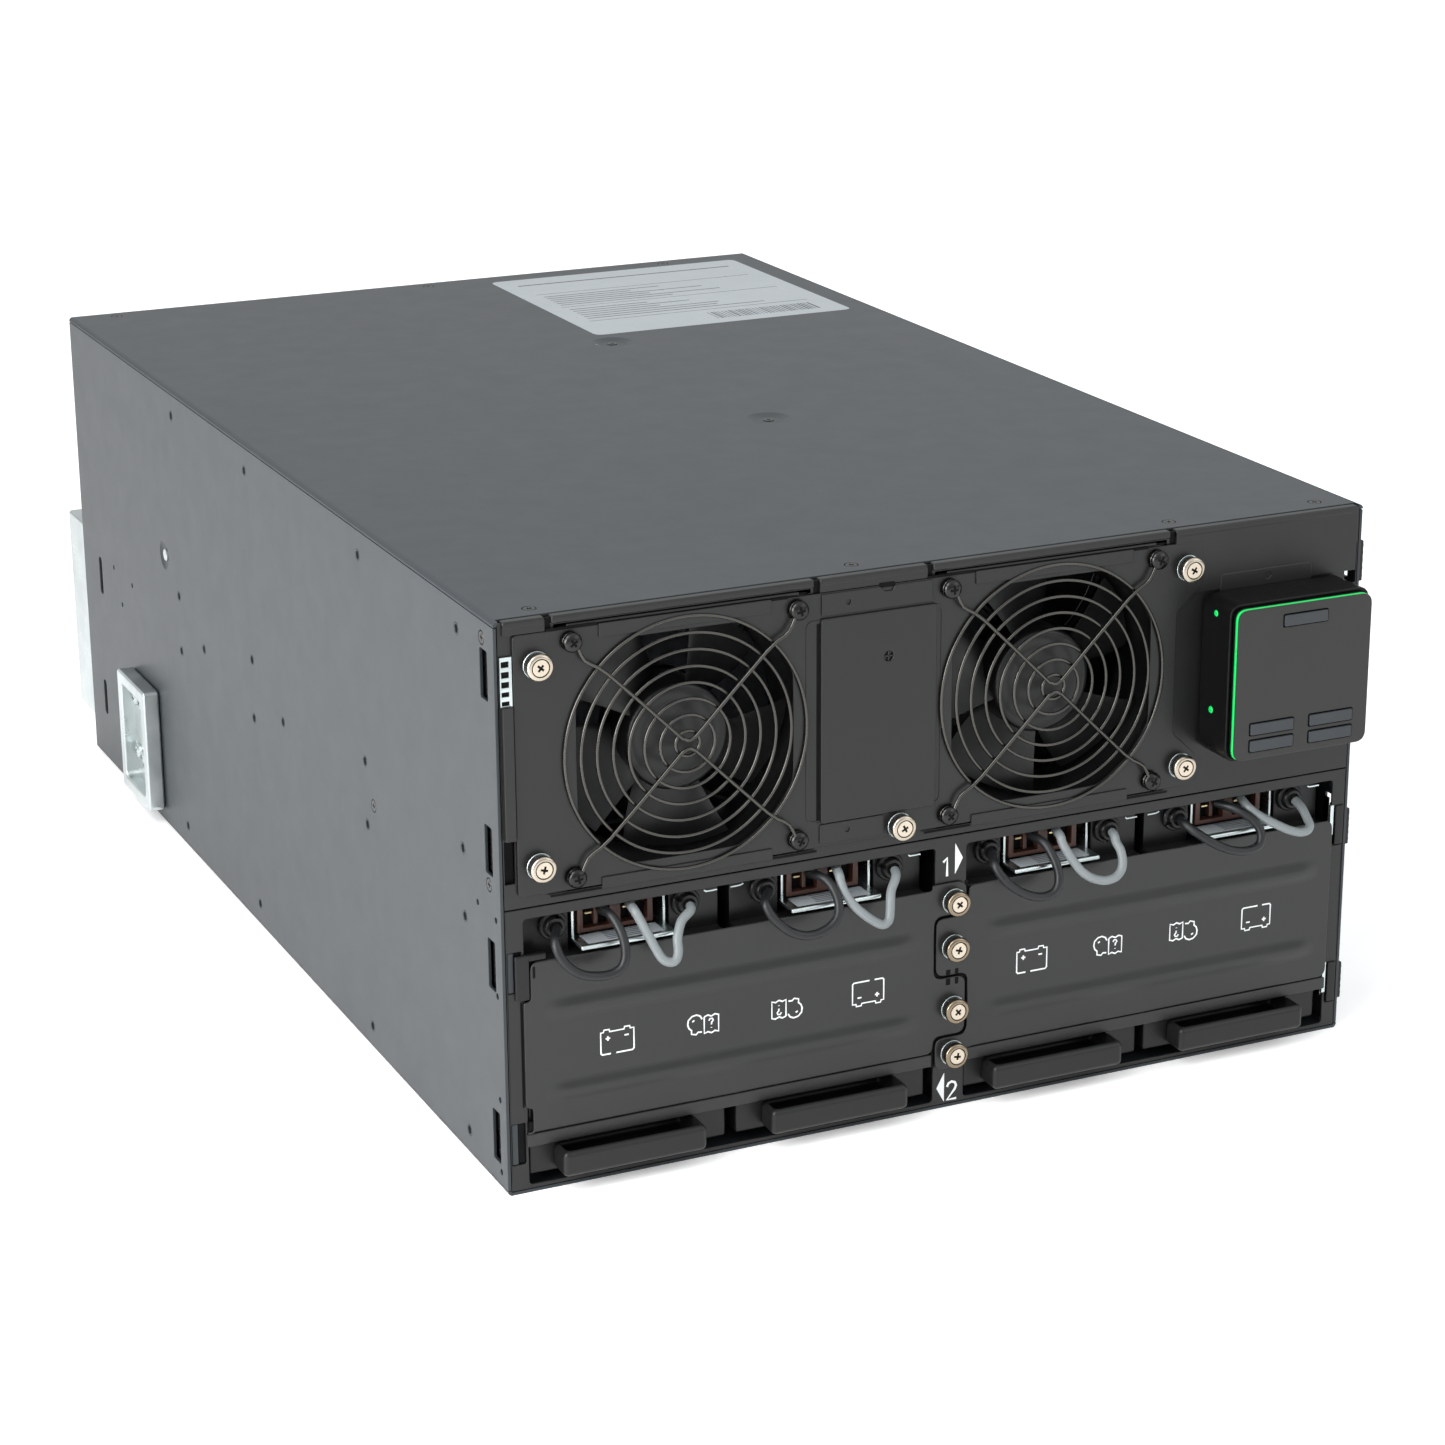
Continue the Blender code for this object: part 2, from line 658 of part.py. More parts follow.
def fan_frame(side, parent):
    """A square fan housing with its round duct, and the motor seat on its struts."""
    x = FAN_X[side]
    half = FAN_SIZE / 2
    frame = plate(
        f"fan_frame_{side}",
        rounded(rectangle((x - half, x + half), (FAN_HEIGHT - half, FAN_HEIGHT + half)), 0.004, 2),
        [circle(x, FAN_HEIGHT, FAN_BORE, 32)],
        0.0,
        FAN_DEPTH,
    )
    seat_front = FAN_DEPTH - 0.0050
    seat_profile = disc_profile(0.0250, 0.0030, -0.0010)
    seat = turned(f"fan_seat_{side}", seat_profile, x, seat_front + 0.004, FAN_HEIGHT)
    join(frame, seat)
    for n in range(2):
        reach = FAN_BORE + 0.001
        width = 0.0030
        span_x = (x - reach, x + reach) if n == 0 else (x - width, x + width)
        span_z = (-width, width) if n == 0 else (-reach, reach)
        low_high = (FAN_HEIGHT + span_z[0], FAN_HEIGHT + span_z[1])
        strut = box(f"fan_strut_{side}_{n}", span_x, (FAN_DEPTH - 0.0035, FAN_DEPTH - 0.0005), low_high)
        join(frame, strut)
    return finish(frame, BLACK_PLASTIC, parent)


def fan_rotor(side, parent):
    """Hub and five wide, pitched blades, turning on an axis along Y."""
    x = FAN_X[side]
    middle = 0.0180
    rotor = turned(
        f"fan_rotor_{side}",
        [(0.0, 0.0110), (0.0225, 0.0110), (0.0245, 0.0090), (0.0245, -0.0120), (0.0, -0.0120)],
        x,
        middle,
        FAN_HEIGHT,
        20,
    )
    blade_count = 5
    for n in range(blade_count):
        name = f"fan_blade_{side}_{n}"
        mesh = bpy.data.meshes.new(name)
        rows, columns = 4, 4
        points = []
        for r in range(rows):
            radius = 0.0215 + (0.0540 - 0.0215) * r / (rows - 1)
            for c in range(columns):
                along = c / (columns - 1) - 0.5
                angle = 2 * math.pi * n / blade_count + along * math.radians(58) + r * 0.10
                lift = along * 0.0190
                points.append((radius * math.cos(angle), radius * math.sin(angle), lift))
        faces = []
        for r in range(rows - 1):
            for c in range(columns - 1):
                corner = r * columns + c
                faces.append((corner, corner + columns, corner + columns + 1, corner + 1))
        mesh.from_pydata(points, [], faces)
        blade = bpy.data.objects.new(name, mesh)
        blade.location = rotor.location
        blade.rotation_euler = rotor.rotation_euler
        PARTS.objects.link(blade)
        thick = blade.modifiers.new("thickness", "SOLIDIFY")
        thick.thickness = 0.0016
        thick.offset = 0.0
        join(rotor, blade)
    return finish(rotor, BLACK_PLASTIC, parent)


def fan_guard(side, parent):
    """Concentric rings held by four arms, each ending in an eye round a screw."""
    x = FAN_X[side]
    half = GUARD_WIRE / 2
    outer = GUARD_RINGS[-1] + half
    eye = 0.0050

    def polar(radius, angle):
        return (x + radius * math.cos(angle), FAN_HEIGHT + radius * math.sin(angle))

    outline = []
    holes = []
    for quarter in range(4):
        arm = math.pi / 4 + quarter * math.pi / 2
        reach = FAN_SCREW * math.sqrt(2)
        centre = polar(reach, arm)
        for n in range(7):
            turn = arm - math.radians(165) + n * math.radians(55)
            outline.append((centre[0] + eye * math.cos(turn), centre[1] + eye * math.sin(turn)))
        start = arm + half * 1.2 / outer
        sweep = math.pi / 2 - 2.4 * half / outer
        outline += [polar(outer, start + sweep * k / 6) for k in range(7)]
        holes.append(circle(*centre, 0.0026, 8))
        for inside, outside in zip(GUARD_RINGS[:-1], GUARD_RINGS[1:]):
            low, high = inside + half, outside - half
            window = []
            steps = 5
            for radius, order in ((low, range(steps + 1)), (high, range(steps, -1, -1))):
                margin = half * 1.2 / radius
                for k in order:
                    window.append(polar(radius, arm + margin + (math.pi / 2 - 2 * margin) * k / steps))
            holes.append(window)
    guard = plate(f"fan_guard_{side}", outline, holes, PLATE_FRONT - GAP - 0.0030, 0.0030)
    return finish(guard, GUARD_STEEL, parent)


def thumbscrew(name, x, z, base, parent):
    """A captive screw: washer, knurled barrel and turned head in front, shank behind."""
    profile = [
        (0.0, THUMB_LENGTH),
        (THUMB_HEAD - 0.0008, THUMB_LENGTH),
        (THUMB_HEAD, THUMB_LENGTH - 0.0008),
        (THUMB_HEAD, THUMB_LENGTH - 0.0025),
        (THUMB_BARREL, THUMB_LENGTH - 0.0027),
        (THUMB_BARREL, THUMB_WASHER),
        (THUMB_HEAD, THUMB_WASHER),
        (THUMB_HEAD, 0.0),
        (SHANK, 0.0),
        (SHANK, -0.0060),
        (0.0, -0.0060),
    ]
    return finish(turned(name, profile, x, base, z, 14), NICKEL, parent)


# ---- display ------------------------------------------------------------------------------
def display_outline(inset, radius):
    half = DISPLAY_HALF - inset
    x = (DISPLAY_X - half, DISPLAY_X + half)
    z = (DISPLAY_Z - half, DISPLAY_Z + half)
    return rounded(rectangle(x, z), radius)


def display_bracket():
    outline = rounded(rectangle((0.1390, 0.1882), (0.1620, 0.2392)), 0.003, 2)
    return finish(plate("display_bracket", outline, [], -0.0015, 0.0012), FRONT_PAINT)


def display_housing():
    depth = 0.0018
    thickness = -DISPLAY_FRONT - depth
    housing = plate("display_housing", display_outline(0.0, 0.0070), [], DISPLAY_FRONT, thickness)
    room_outline = display_outline(0.0020, 0.0055)
    room = plate("display_room", room_outline, [], DISPLAY_FRONT - 0.01, thickness + 0.007)
    return finish(cut(housing, room), DISPLAY_BLACK)


def display_light_ring():
    ring = plate(
        "display_light_ring",
        display_outline(FASCIA_INSET, 0.0058),
        [display_outline(FASCIA_INSET + 0.0028, 0.0040)],
        RING_FRONT,
        RING_BACK - RING_FRONT,
    )
    return finish(ring, GREEN_LIGHT)


def display_fascia():
    clearance = 0.0003
    pockets = []
    for x, z in BUTTONS.values():
        across = BUTTON_WIDTH / 2 + clearance
        up = BUTTON_HEIGHT / 2 + clearance
        pockets.append(rectangle((x - across, x + across), (z - up, z + up)))
    fascia = plate(
        "display_fascia",
        display_outline(FASCIA_INSET, 0.0058),
        pockets,
        FASCIA_FRONT,
        FASCIA_BACK - FASCIA_FRONT,
    )
    return finish(fascia, DISPLAY_BLACK)


def button(name, x, z):
    across, up = BUTTON_WIDTH / 2, BUTTON_HEIGHT / 2
    depth = (FASCIA_FRONT - BUTTON_PROUD, FASCIA_BACK - 0.0002)
    return finish(box(f"button_{name}", (x - across, x + across), depth, (z - up, z + up)), BUTTON_GREY)


# ---- doors --------------------------------------------------------------------------------
def door(side, parent):
    """A flat door with a lip at its foot; the two doors' ears interlock along the middle."""
    steps = (0.0953, 0.0658, 0.0362)  # heights where the seam changes sides
    if side == "left":
        inner = [
            (EAR_LEFT - SEAM, DOOR_BOTTOM),
            (EAR_LEFT - SEAM, steps[2] + SEAM / 2),
            (EAR_RIGHT, steps[2] + SEAM / 2),
            (EAR_RIGHT, steps[1] - SEAM / 2),
            (EAR_LEFT - SEAM, steps[1] - SEAM / 2),
            (EAR_LEFT - SEAM, steps[0] + SEAM / 2),
            (EAR_RIGHT, steps[0] + SEAM / 2),
            (EAR_RIGHT, DOOR_TOP + 0.0025),
            (-0.0080, DOOR_TOP + 0.0025),
            (-0.0080, DOOR_TOP),
        ]
        corners = [(-DOOR_EDGE, DOOR_BOTTOM), *inner, (-DOOR_EDGE, DOOR_TOP)]
        lip = (-0.2030, -0.0100)
        rib = (-0.1960, -0.0200)
    else:
        corners = [
            (DOOR_EDGE, DOOR_BOTTOM),
            (DOOR_EDGE, DOOR_TOP),
            (EAR_RIGHT + SEAM, DOOR_TOP),
            (EAR_RIGHT + SEAM, steps[0] - SEAM / 2),
            (EAR_LEFT, steps[0] - SEAM / 2),
            (EAR_LEFT, steps[1] + SEAM / 2),
            (EAR_RIGHT + SEAM, steps[1] + SEAM / 2),
            (EAR_RIGHT + SEAM, steps[2] - SEAM / 2),
            (EAR_LEFT, steps[2] - SEAM / 2),
            (EAR_LEFT, 0.0200),
            (0.0095, 0.0200),
            (0.0095, DOOR_BOTTOM),
        ]
        lip = (0.0110, 0.2030)
        rib = (0.0200, 0.1960)
    holes = [circle(DOOR_SCREW_X, z, SCREW_BORE, 12) for z in DOOR_SCREWS[side].values()]
    panel = plate(f"door_{side}", rounded(corners, 0.0030, 2), holes, PLATE_FRONT, PLATE)
    foot = box(
        f"door_lip_{side}",
        lip,
        (PLATE_FRONT - 0.0012, PLATE_FRONT + 0.0006),
        (DOOR_BOTTOM + 0.0004, DOOR_BOTTOM + 0.0062),
    )
    join(panel, foot)
    for n, z in enumerate(RIB_HEIGHTS):
        pressed = box(
            f"door_rib_{side}_{n}",
            rib,
            (PLATE_FRONT - RIB_PROUD, PLATE_FRONT + 0.0006),
            (z - RIB_HALF, z + RIB_HALF),
        )
        join(panel, bevel(pressed, 0.0005))
    return finish(panel, FRONT_PAINT, parent)


# ---- battery modules ----------------------------------------------------------------------
def module_front(number, parent):
    """The module's plastic end: a scoop handle below the door, two glands above it."""
    x = MODULE_X[number]
    wide = MODULE_SPANS[number]
    name = f"module_front_{number}"
    cap = box(name, wide, (0.0020, CAP_DEPTH), (MODULE_BOTTOM, 0.1264))
    notch_half = SOCKET_HALF + 0.0012
    cut(
        cap,
        box(f"upper_step_{number}", (wide[0] - 0.01, wide[1] + 0.01), (-0.02, EAR_FRONT), (0.1078, 0.1400)),
        box(f"tray_notch_{number}", (x - notch_half, x + notch_half), (-0.02, 0.06), (0.1078, 0.1400)),
    )
    handle = box(f"handle_{number}", (x - 0.0357, x + 0.0333), (-0.0115, 0.0030), (0.0086, 0.0208))
    join(cap, bevel(handle, 0.0020))
    finger_room = box(f"finger_room_{number}", (x - 0.0335, x + 0.0311), (-0.0092, 0.0150), (0.0116, 0.0260))
    cut(cap, finger_room)
    for n, sign in enumerate((-1, 1)):
        gland = turned(
            f"gland_{number}_{n}",
            disc_profile(GLAND_RADIUS, 0.0050, -0.0010),
            x + sign * GLAND_X,
            EAR_FRONT,
            GLAND_Z,
            12,
        )
        join(cap, gland)
    return finish(cap, BLACK_PLASTIC, parent)


def cell_pack(number, parent):
    """The row of sealed battery blocks behind the module's front."""
    low, high = MODULE_SPANS[number]
    cells = box(
        f"cell_pack_{number}",
        (low + 0.0006, high - 0.0006),
        (CAP_DEPTH + GAP, CELLS_DEPTH),
        (MODULE_BOTTOM + 0.0008, CELL_TOP),
    )
    return finish(bevel(cells, 0.0020), CELL_CASE, parent)


def plug(number, parent):
    """The two-pole plug that sits in its tray."""
    x = MODULE_X[number]
    body = box(
        f"plug_{number}",
        (x - PLUG_HALF, x + PLUG_HALF),
        (PLUG_FRONT, 0.0360),
        (SOCKET_FLOOR + 0.0030, 0.1265),
    )
    for n, sign in enumerate((-1, 1)):
        low = x + sign * 0.0140 - 0.0030
        cut(body, box(f"key_way_{number}_{n}", (low, low + 0.0060), (0.0, 0.0150), (0.1165, 0.1225)))
    return finish(body, BROWN_PLASTIC, parent)


def smooth_route(points, spacing):
    """Places at an even spacing on a smooth curve through the route's own points."""
    route = [Vector(p) for p in points]
    ends = [route[0] * 2 - route[1], *route, route[-1] * 2 - route[-2]]
    fine = []
    for n in range(len(route) - 1):
        a, b, c, d = ends[n : n + 4]
        for k in range(12):
            t = k / 12
            spot = b * 2 + (c - a) * t + (a * 2 - b * 5 + c * 4 - d) * t**2
            fine.append((spot + (b * 3 - a - c * 3 + d) * t**3) / 2)
    fine.append(route[-1])
    lengths = [0.0]
    for before, after in zip(fine, fine[1:]):
        lengths.append(lengths[-1] + (after - before).length)
    count = round(lengths[-1] / spacing)
    out = []
    place = 0
    for k in range(count + 1):
        wanted = lengths[-1] * k / count
        while place < len(lengths) - 2 and lengths[place + 1] < wanted:
            place += 1
        share = (wanted - lengths[place]) / (lengths[place + 1] - lengths[place])
        out.append(fine[place].lerp(fine[place + 1], min(share, 1.0)))
    return out


def lead(name, route, number, paint, parent):
    """A power lead between a gland and the module's plug, hanging in front of the door."""
    data = bpy.data.curves.new(name, "CURVE")
    data.dimensions = "3D"
    data.bevel_depth = LEAD_RADIUS
    data.bevel_resolution = 2
    data.use_fill_caps = True
    spline = data.splines.new("POLY")
    places = smooth_route(route, 3 * LEAD_RADIUS)
    spline.points.add(len(places) - 1)
    for point, place in zip(spline.points, places):
        point.co = (place.x, place.y, place.z, 1.0)
    made = bpy.data.objects.new(name, data)
    made.location = (MODULE_X[number], FRONT, 0.0)
    PARTS.objects.link(made)
    return finish(made, paint, parent)


# ---- build --------------------------------------------------------------------------------
def build():
    base_pan()
    top_cover()
    front_panel_upper()
    battery_bay_frame()
    bay_shelf()
    rear_panel()
    terminal_cover()
    rear_bracket("left", -1)
    rear_bracket("right", 1)
    main_board()
    heat_sink()
    connector_bracket("left", (1, 2))
    connector_bracket("right", (3, 4))

    display_bracket()
    display_housing()
    display_light_ring()
    display_fascia()
    for name, (x, z) in BUTTONS.items():
        button(name, x, z)

    tray = assembly("fan_tray_slide", (0.0, FRONT, FAN_HEIGHT))
    fan_tray(tray)
    for side in FAN_X:
        fan_frame(side, tray)
        fan_rotor(side, tray)
        fan_guard(side, tray)
    for place, (x, z) in TRAY_SCREWS.items():
        base = PLATE_FRONT - GAP
        thumbscrew(f"tray_thumbscrew_{place}", x, z, base, tray)

    for side, modules in (("left", (1, 2)), ("right", (3, 4))):
        middle = sum(MODULE_X[n] for n in modules) / 2
        cartridge = assembly(f"cartridge_{side}_slide", (middle, FRONT, MODULE_BOTTOM))
        for number in modules:
            module_front(number, cartridge)
            cell_pack(number, cartridge)
            plug(number, cartridge)
            lead(f"lead_dark_{number}", DARK_ROUTES[number], number, DARK_SHEATH, cartridge)
            lead(f"lead_light_{number}", LIGHT_ROUTES[number], number, LIGHT_SHEATH, cartridge)
        lift_off = assembly(f"door_{side}_slide", (middle, FRONT, DOOR_BOTTOM))
        lift_off.parent = cartridge
        lift_off.matrix_parent_inverse = cartridge.matrix_world.inverted()
        bpy.context.view_layer.update()
        door(side, lift_off)
        for place, z in DOOR_SCREWS[side].items():
            base = PLATE_FRONT - GAP
            thumbscrew(f"door_thumbscrew_{side}_{place}", DOOR_SCREW_X, z, base, lift_off)


build()
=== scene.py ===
"""Looks of a rack-mounted battery backup unit with its front bezel off.

Lengths inside the shape functions are millimetres. "Depth" is measured behind the front plane
of the case, so a negative depth stands out in front of it, as in the CAD model.
"""

import math
import random

import bmesh
import bpy
from mathutils import Matrix, Vector


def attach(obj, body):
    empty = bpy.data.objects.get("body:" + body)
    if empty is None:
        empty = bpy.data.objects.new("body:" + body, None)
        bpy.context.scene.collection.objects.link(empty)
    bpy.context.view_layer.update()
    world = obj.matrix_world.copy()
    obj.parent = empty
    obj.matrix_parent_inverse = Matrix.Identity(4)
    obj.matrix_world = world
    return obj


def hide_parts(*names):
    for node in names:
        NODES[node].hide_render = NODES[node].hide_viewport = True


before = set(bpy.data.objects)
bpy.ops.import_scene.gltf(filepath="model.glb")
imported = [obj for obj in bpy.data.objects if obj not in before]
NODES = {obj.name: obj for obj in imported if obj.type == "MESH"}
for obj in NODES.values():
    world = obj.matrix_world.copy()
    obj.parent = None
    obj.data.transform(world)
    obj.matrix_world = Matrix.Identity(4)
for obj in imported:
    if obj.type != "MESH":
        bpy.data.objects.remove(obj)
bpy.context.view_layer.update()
random.seed(7)

MM = 0.001
FRONT = -0.3375  # the front plane of the case, along Y
HALF_WIDTH = 216.0
HEIGHT = 263.0
DEPTH = 675.0

SHEET = 1.5  # the thickness of the case's sheet


def linked(name, data):
    made = bpy.data.objects.new(name, data)
    bpy.context.scene.collection.objects.link(made)
    return made


# ---- camera -------------------------------------------------------------------------------
FOCAL_PIXELS = 3548.48
IMAGE_PIXELS = 1445
SENSOR = 36.0
CAMERA_PLACE = (-0.7174, -1.6581, 0.6913)
CAMERA_ANGLES = (-24.6551, 18.5383, -0.383)  # azimuth, elevation and roll, in degrees


def add_camera():
    azimuth, elevation, roll = (math.radians(a) for a in CAMERA_ANGLES)
    level = math.cos(elevation)
    view = Vector((-math.sin(azimuth) * level, math.cos(azimuth) * level, -math.sin(elevation)))
    data = bpy.data.cameras.new("camera")
    data.sensor_width = SENSOR
    data.lens = SENSOR * FOCAL_PIXELS / IMAGE_PIXELS
    data.clip_end = 20.0
    camera = linked("camera", data)
    turn = view.to_track_quat("-Z", "Y").to_matrix().to_4x4() @ Matrix.Rotation(roll, 4, "Z")
    camera.matrix_world = Matrix.Translation(CAMERA_PLACE) @ turn
    bpy.context.scene.camera = camera


# ---- materials ----------------------------------------------------------------------------
def node(tree, kind, values, **settings):
    made = tree.nodes.new(kind)
    for name, value in settings.items():
        setattr(made, name, value)
    for name, value in values.items():
        made.inputs[name].default_value = value
    return made


def ramp(tree, source, low, high, start, end):
    """Spread a 0..1 signal between two values, reaching them at start and end."""
    made = node(
        tree, "ShaderNodeMapRange", {"From Min": start, "From Max": end, "To Min": low, "To Max": high}
    )
    tree.links.new(source, made.inputs["Value"])
    return made.outputs["Result"]


def material(
    name, colour, rough, metal=0.0, grain=900.0, relief=0.10, spread=0.10, gloss=0.08, stretch=(1, 1, 1),
    marks=0.0, glow=0.0, shine=0.5,
):
    """A finish with colour patches, uneven gloss, a fine relief and, if asked, light scuffs."""
    made = bpy.data.materials.new(name)
    made.use_nodes = True
    tree = made.node_tree
    shader = tree.nodes["Principled BSDF"]
    shader.inputs["Metallic"].default_value = metal
    shader.inputs["Specular IOR Level"].default_value = shine
    place = node(tree, "ShaderNodeTexCoord", {})
    scaled = node(tree, "ShaderNodeMapping", {"Scale": stretch})
    tree.links.new(place.outputs["Object"], scaled.inputs["Vector"])

    def noise(scale, detail, rest=0.55):
        made_noise = node(tree, "ShaderNodeTexNoise", {"Scale": scale, "Detail": detail, "Roughness": rest})
        tree.links.new(scaled.outputs["Vector"], made_noise.inputs["Vector"])
        return made_noise.outputs["Fac"]

    def tint(share, lift=0.0):
        return (*(min(1.0, c * share + lift) for c in colour), 1.0)

    shade = node(tree, "ShaderNodeMix", {}, data_type="RGBA")
    shade.inputs["A"].default_value = tint(1 - spread)
    shade.inputs["B"].default_value = tint(1 + spread)
    tree.links.new(ramp(tree, noise(11.0, 5.0), 0.0, 1.0, 0.3, 0.7), shade.inputs["Factor"])
    finish = shade.outputs["Result"]
    if marks:
        scuff = node(tree, "ShaderNodeMix", {}, data_type="RGBA")
        scuff.inputs["B"].default_value = tint(1.6, 0.02)
        tree.links.new(finish, scuff.inputs["A"])
        tree.links.new(ramp(tree, noise(70.0, 8.0, 0.7), 0.0, marks, 0.60, 0.74), scuff.inputs["Factor"])
        finish = scuff.outputs["Result"]
    tree.links.new(finish, shader.inputs["Base Color"])
    uneven = ramp(tree, noise(46.0, 6.0, 0.65), rough - gloss, rough + gloss, 0.3, 0.7)
    tree.links.new(uneven, shader.inputs["Roughness"])
    bump = node(tree, "ShaderNodeBump", {"Strength": relief, "Distance": 0.0001})
    tree.links.new(noise(grain, 3.0), bump.inputs["Height"])
    tree.links.new(bump.outputs["Normal"], shader.inputs["Normal"])
    if glow:
        shader.inputs["Emission Color"].default_value = (*colour, 1.0)
        uneven_glow = ramp(tree, noise(30.0, 2.0), glow * 0.85, glow * 1.1, 0.3, 0.7)
        tree.links.new(uneven_glow, shader.inputs["Emission Strength"])
    return made


CASE = material("case_paint", (0.023, 0.028, 0.032), 0.40, relief=0.12, spread=0.03, gloss=0.02, shine=0.38)
PAINT = material(
    "front_paint", (
        0.0085, 0.0088, 0.0083
    ), 0.36, relief=0.12, marks=0.05, spread=0.06, gloss=0.04, shine=0.41
)
DOOR = material(
    "door_paint", (
        0.0110, 0.0114, 0.0110
    ), 0.34, relief=0.12, marks=0.04, spread=0.06, gloss=0.04, shine=0.48
)
FACE = material(
    "fascia_plastic", (
        0.0150, 0.0146, 0.0135
    ), 0.42, grain=1500.0, relief=0.08, spread=0.05, gloss=0.03, shine=0.43
)
DARK = material(
    "housing_plastic", (0.004, 0.004, 0.004), 0.30, grain=1300.0, relief=0.08, gloss=0.04, shine=0.16
)
BLACK = material(
    "black_plastic", (0.0045, 0.0045, 0.0048), 0.36, grain=1100.0, relief=0.14, gloss=0.05, shine=0.34
)
FAN = material(
    "fan_plastic", (
        0.0065, 0.0067, 0.0067
    ), 0.32, grain=1200.0, relief=0.06, spread=0.06, gloss=0.03, shine=0.40
)
MODULE = material(
    "module_plastic", (
        0.0070, 0.0072, 0.0070
    ), 0.40, grain=1500.0, relief=0.20, marks=0.06, gloss=0.04, shine=0.36
)
ZINC = material("zinc", (0.56, 0.62, 0.62), 0.30, 1.0, 500.0, 0.12, 0.14, 0.10, (1.0, 1.0, 7.0))
PLATED = material("plated_zinc", (0.56, 0.595, 0.595), 0.34, 1.0, 300.0, 0.12, 0.16, 0.12, marks=0.15)
NICKEL = material("nickel", (0.50, 0.44, 0.36), 0.24, 1.0, 1600.0, 0.10, 0.06, 0.06)
BRONZE = material("bronze_rim", (0.25, 0.20, 0.145), 0.24, 1.0, 1600.0, 0.10, 0.08, 0.06)
BRIGHT = material("bright_face", (0.60, 0.525, 0.43), 0.26, 1.0, 1800.0, 0.10, 0.04, 0.05)
WIRE = material("guard_wire", (0.080, 0.078, 0.072), 0.26, 1.0, 700.0, 0.10, 0.10, 0.06)
SCREW = material("black_screw", (0.038, 0.038, 0.037), 0.24, 1.0, 900.0, 0.16, 0.14, 0.08)
LENS = material("light_guide", (0.0, 0.50, 0.085), 0.30, grain=800.0, relief=0.05, glow=0.40)
KEY = material("key_rubber", (0.021, 0.026, 0.031), 0.46, grain=1500.0, relief=0.14, spread=0.05)
BROWN = material("plug_plastic", (0.060, 0.024, 0.016), 0.40, grain=900.0, relief=0.16, spread=0.16)
DARK_SHEATH = material(
    "dark_sheath", (0.008, 0.009, 0.010), 0.42, grain=420.0, relief=0.20, spread=0.16, shine=0.42
)
LIGHT_SHEATH = material("light_sheath", (0.185, 0.205, 0.212), 0.42, grain=420.0, relief=0.16, spread=0.09)
CELLS = material("cell_case", (0.022, 0.023, 0.026), 0.50, grain=900.0, relief=0.25, marks=0.10)
BOARD = material("board", (0.004, 0.022, 0.011), 0.40, grain=300.0, relief=0.30, spread=0.25)
FINS = material("heat_sink", (0.60, 0.61, 0.63), 0.36, 1.0, 500.0, 0.20, 0.08, 0.08, (1.0, 9.0, 1.0))
PRINT = material("white_print", (0.72, 0.74, 0.74), 0.50, grain=900.0, relief=0.10, spread=0.03)
LABEL = material("label_film", (0.34, 0.37, 0.39), 0.34, grain=500.0, relief=0.06, spread=0.03)
INK = material("label_ink", (0.06, 0.07, 0.08), 0.45, grain=900.0, relief=0.06, spread=0.06)
BRASS = material("brass", (0.70, 0.58, 0.34), 0.28, 1.0, 900.0, 0.10, 0.08, 0.06)
# painted shade: a near-black finish laid in gaps, slots, holes and recesses where only shade would show
PAINTED_SHADE = material("shadow_black", (0.002, 0.002, 0.002), 0.60, relief=0.05, shine=0.12)
FLOOR = material(
    "floor", (0.94, 0.94, 0.94), 0.60, grain=40.0, relief=0.02, spread=0.01, gloss=0.03, glow=0.24
)


# ---- placing ------------------------------------------------------------------------------
def facing(across, up, out, x, depth, z):
    """Places a shape whose own axes run across, up and out of a face; all in millimetres."""
    place = Matrix.Identity(4)
    for column, way in enumerate((across, up, out)):
        for row in range(3):
            place[row][column] = way[row] * MM
    place.translation = (x * MM, FRONT + depth * MM, z * MM)
    return place


def front(depth=0.0, x=0.0, z=0.0):
    return facing((1, 0, 0), (0, 0, 1), (0, -1, 0), x, depth, z)


def back(depth, x=0.0, z=0.0):
    return facing((1, 0, 0), (0, 0, 1), (0, 1, 0), x, depth, z)


def left(x, depth=0.0, z=0.0):
    return facing((0, 1, 0), (0, 0, 1), (-1, 0, 0), x, depth, z)


def right(x, depth=0.0, z=0.0):
    return facing((0, 1, 0), (0, 0, 1), (1, 0, 0), x, depth, z)


def top(z, x=0.0, depth=0.0):
    return facing((1, 0, 0), (0, 1, 0), (0, 0, 1), x, depth, z)


def under(z, x=0.0, depth=0.0):
    return facing((1, 0, 0), (0, 1, 0), (0, 0, -1), x, depth, z)


SPACE = top(0.0)


def moved(mesh, *by):
    mesh.transform(Matrix.Translation(by))
    return mesh


# ---- outlines -----------------------------------------------------------------------------
def rectangle(x0, x1, z0, z1):
    return [(x0, z0), (x1, z0), (x1, z1), (x0, z1)]


def circle(x, z, radius, count=32):
    turns = [2 * math.pi * n / count for n in range(count)]
    return [(x + radius * math.cos(a), z + radius * math.sin(a)) for a in turns]


def eased(first, corner, last, steps):
    """Places on a short curve from first to last that leans towards the corner."""
    out = []
    for k in range(steps + 1):
        t = k / steps
        spot = first * (1 - t) ** 2 + corner * 2 * t * (1 - t) + last * t**2
        out.append((spot.x, spot.y))
    return out


def rounded(corners, radius, steps=5):
    """A polygon with its corners rounded off, each by a short curve between two tangents."""
    points = [Vector(c) for c in corners]
    out = []
    for n, corner in enumerate(points):
        before = points[n - 1] - corner
        after = points[(n + 1) % len(points)] - corner
        reach = min(radius, before.length * 0.48, after.length * 0.48)
        out += eased(
            corner + before.normalized() * reach, corner, corner + after.normalized() * reach, steps
        )
    return out


def soft_rectangle(x0, x1, z0, z1, radius):
    return rounded(rectangle(x0, x1, z0, z1), radius)


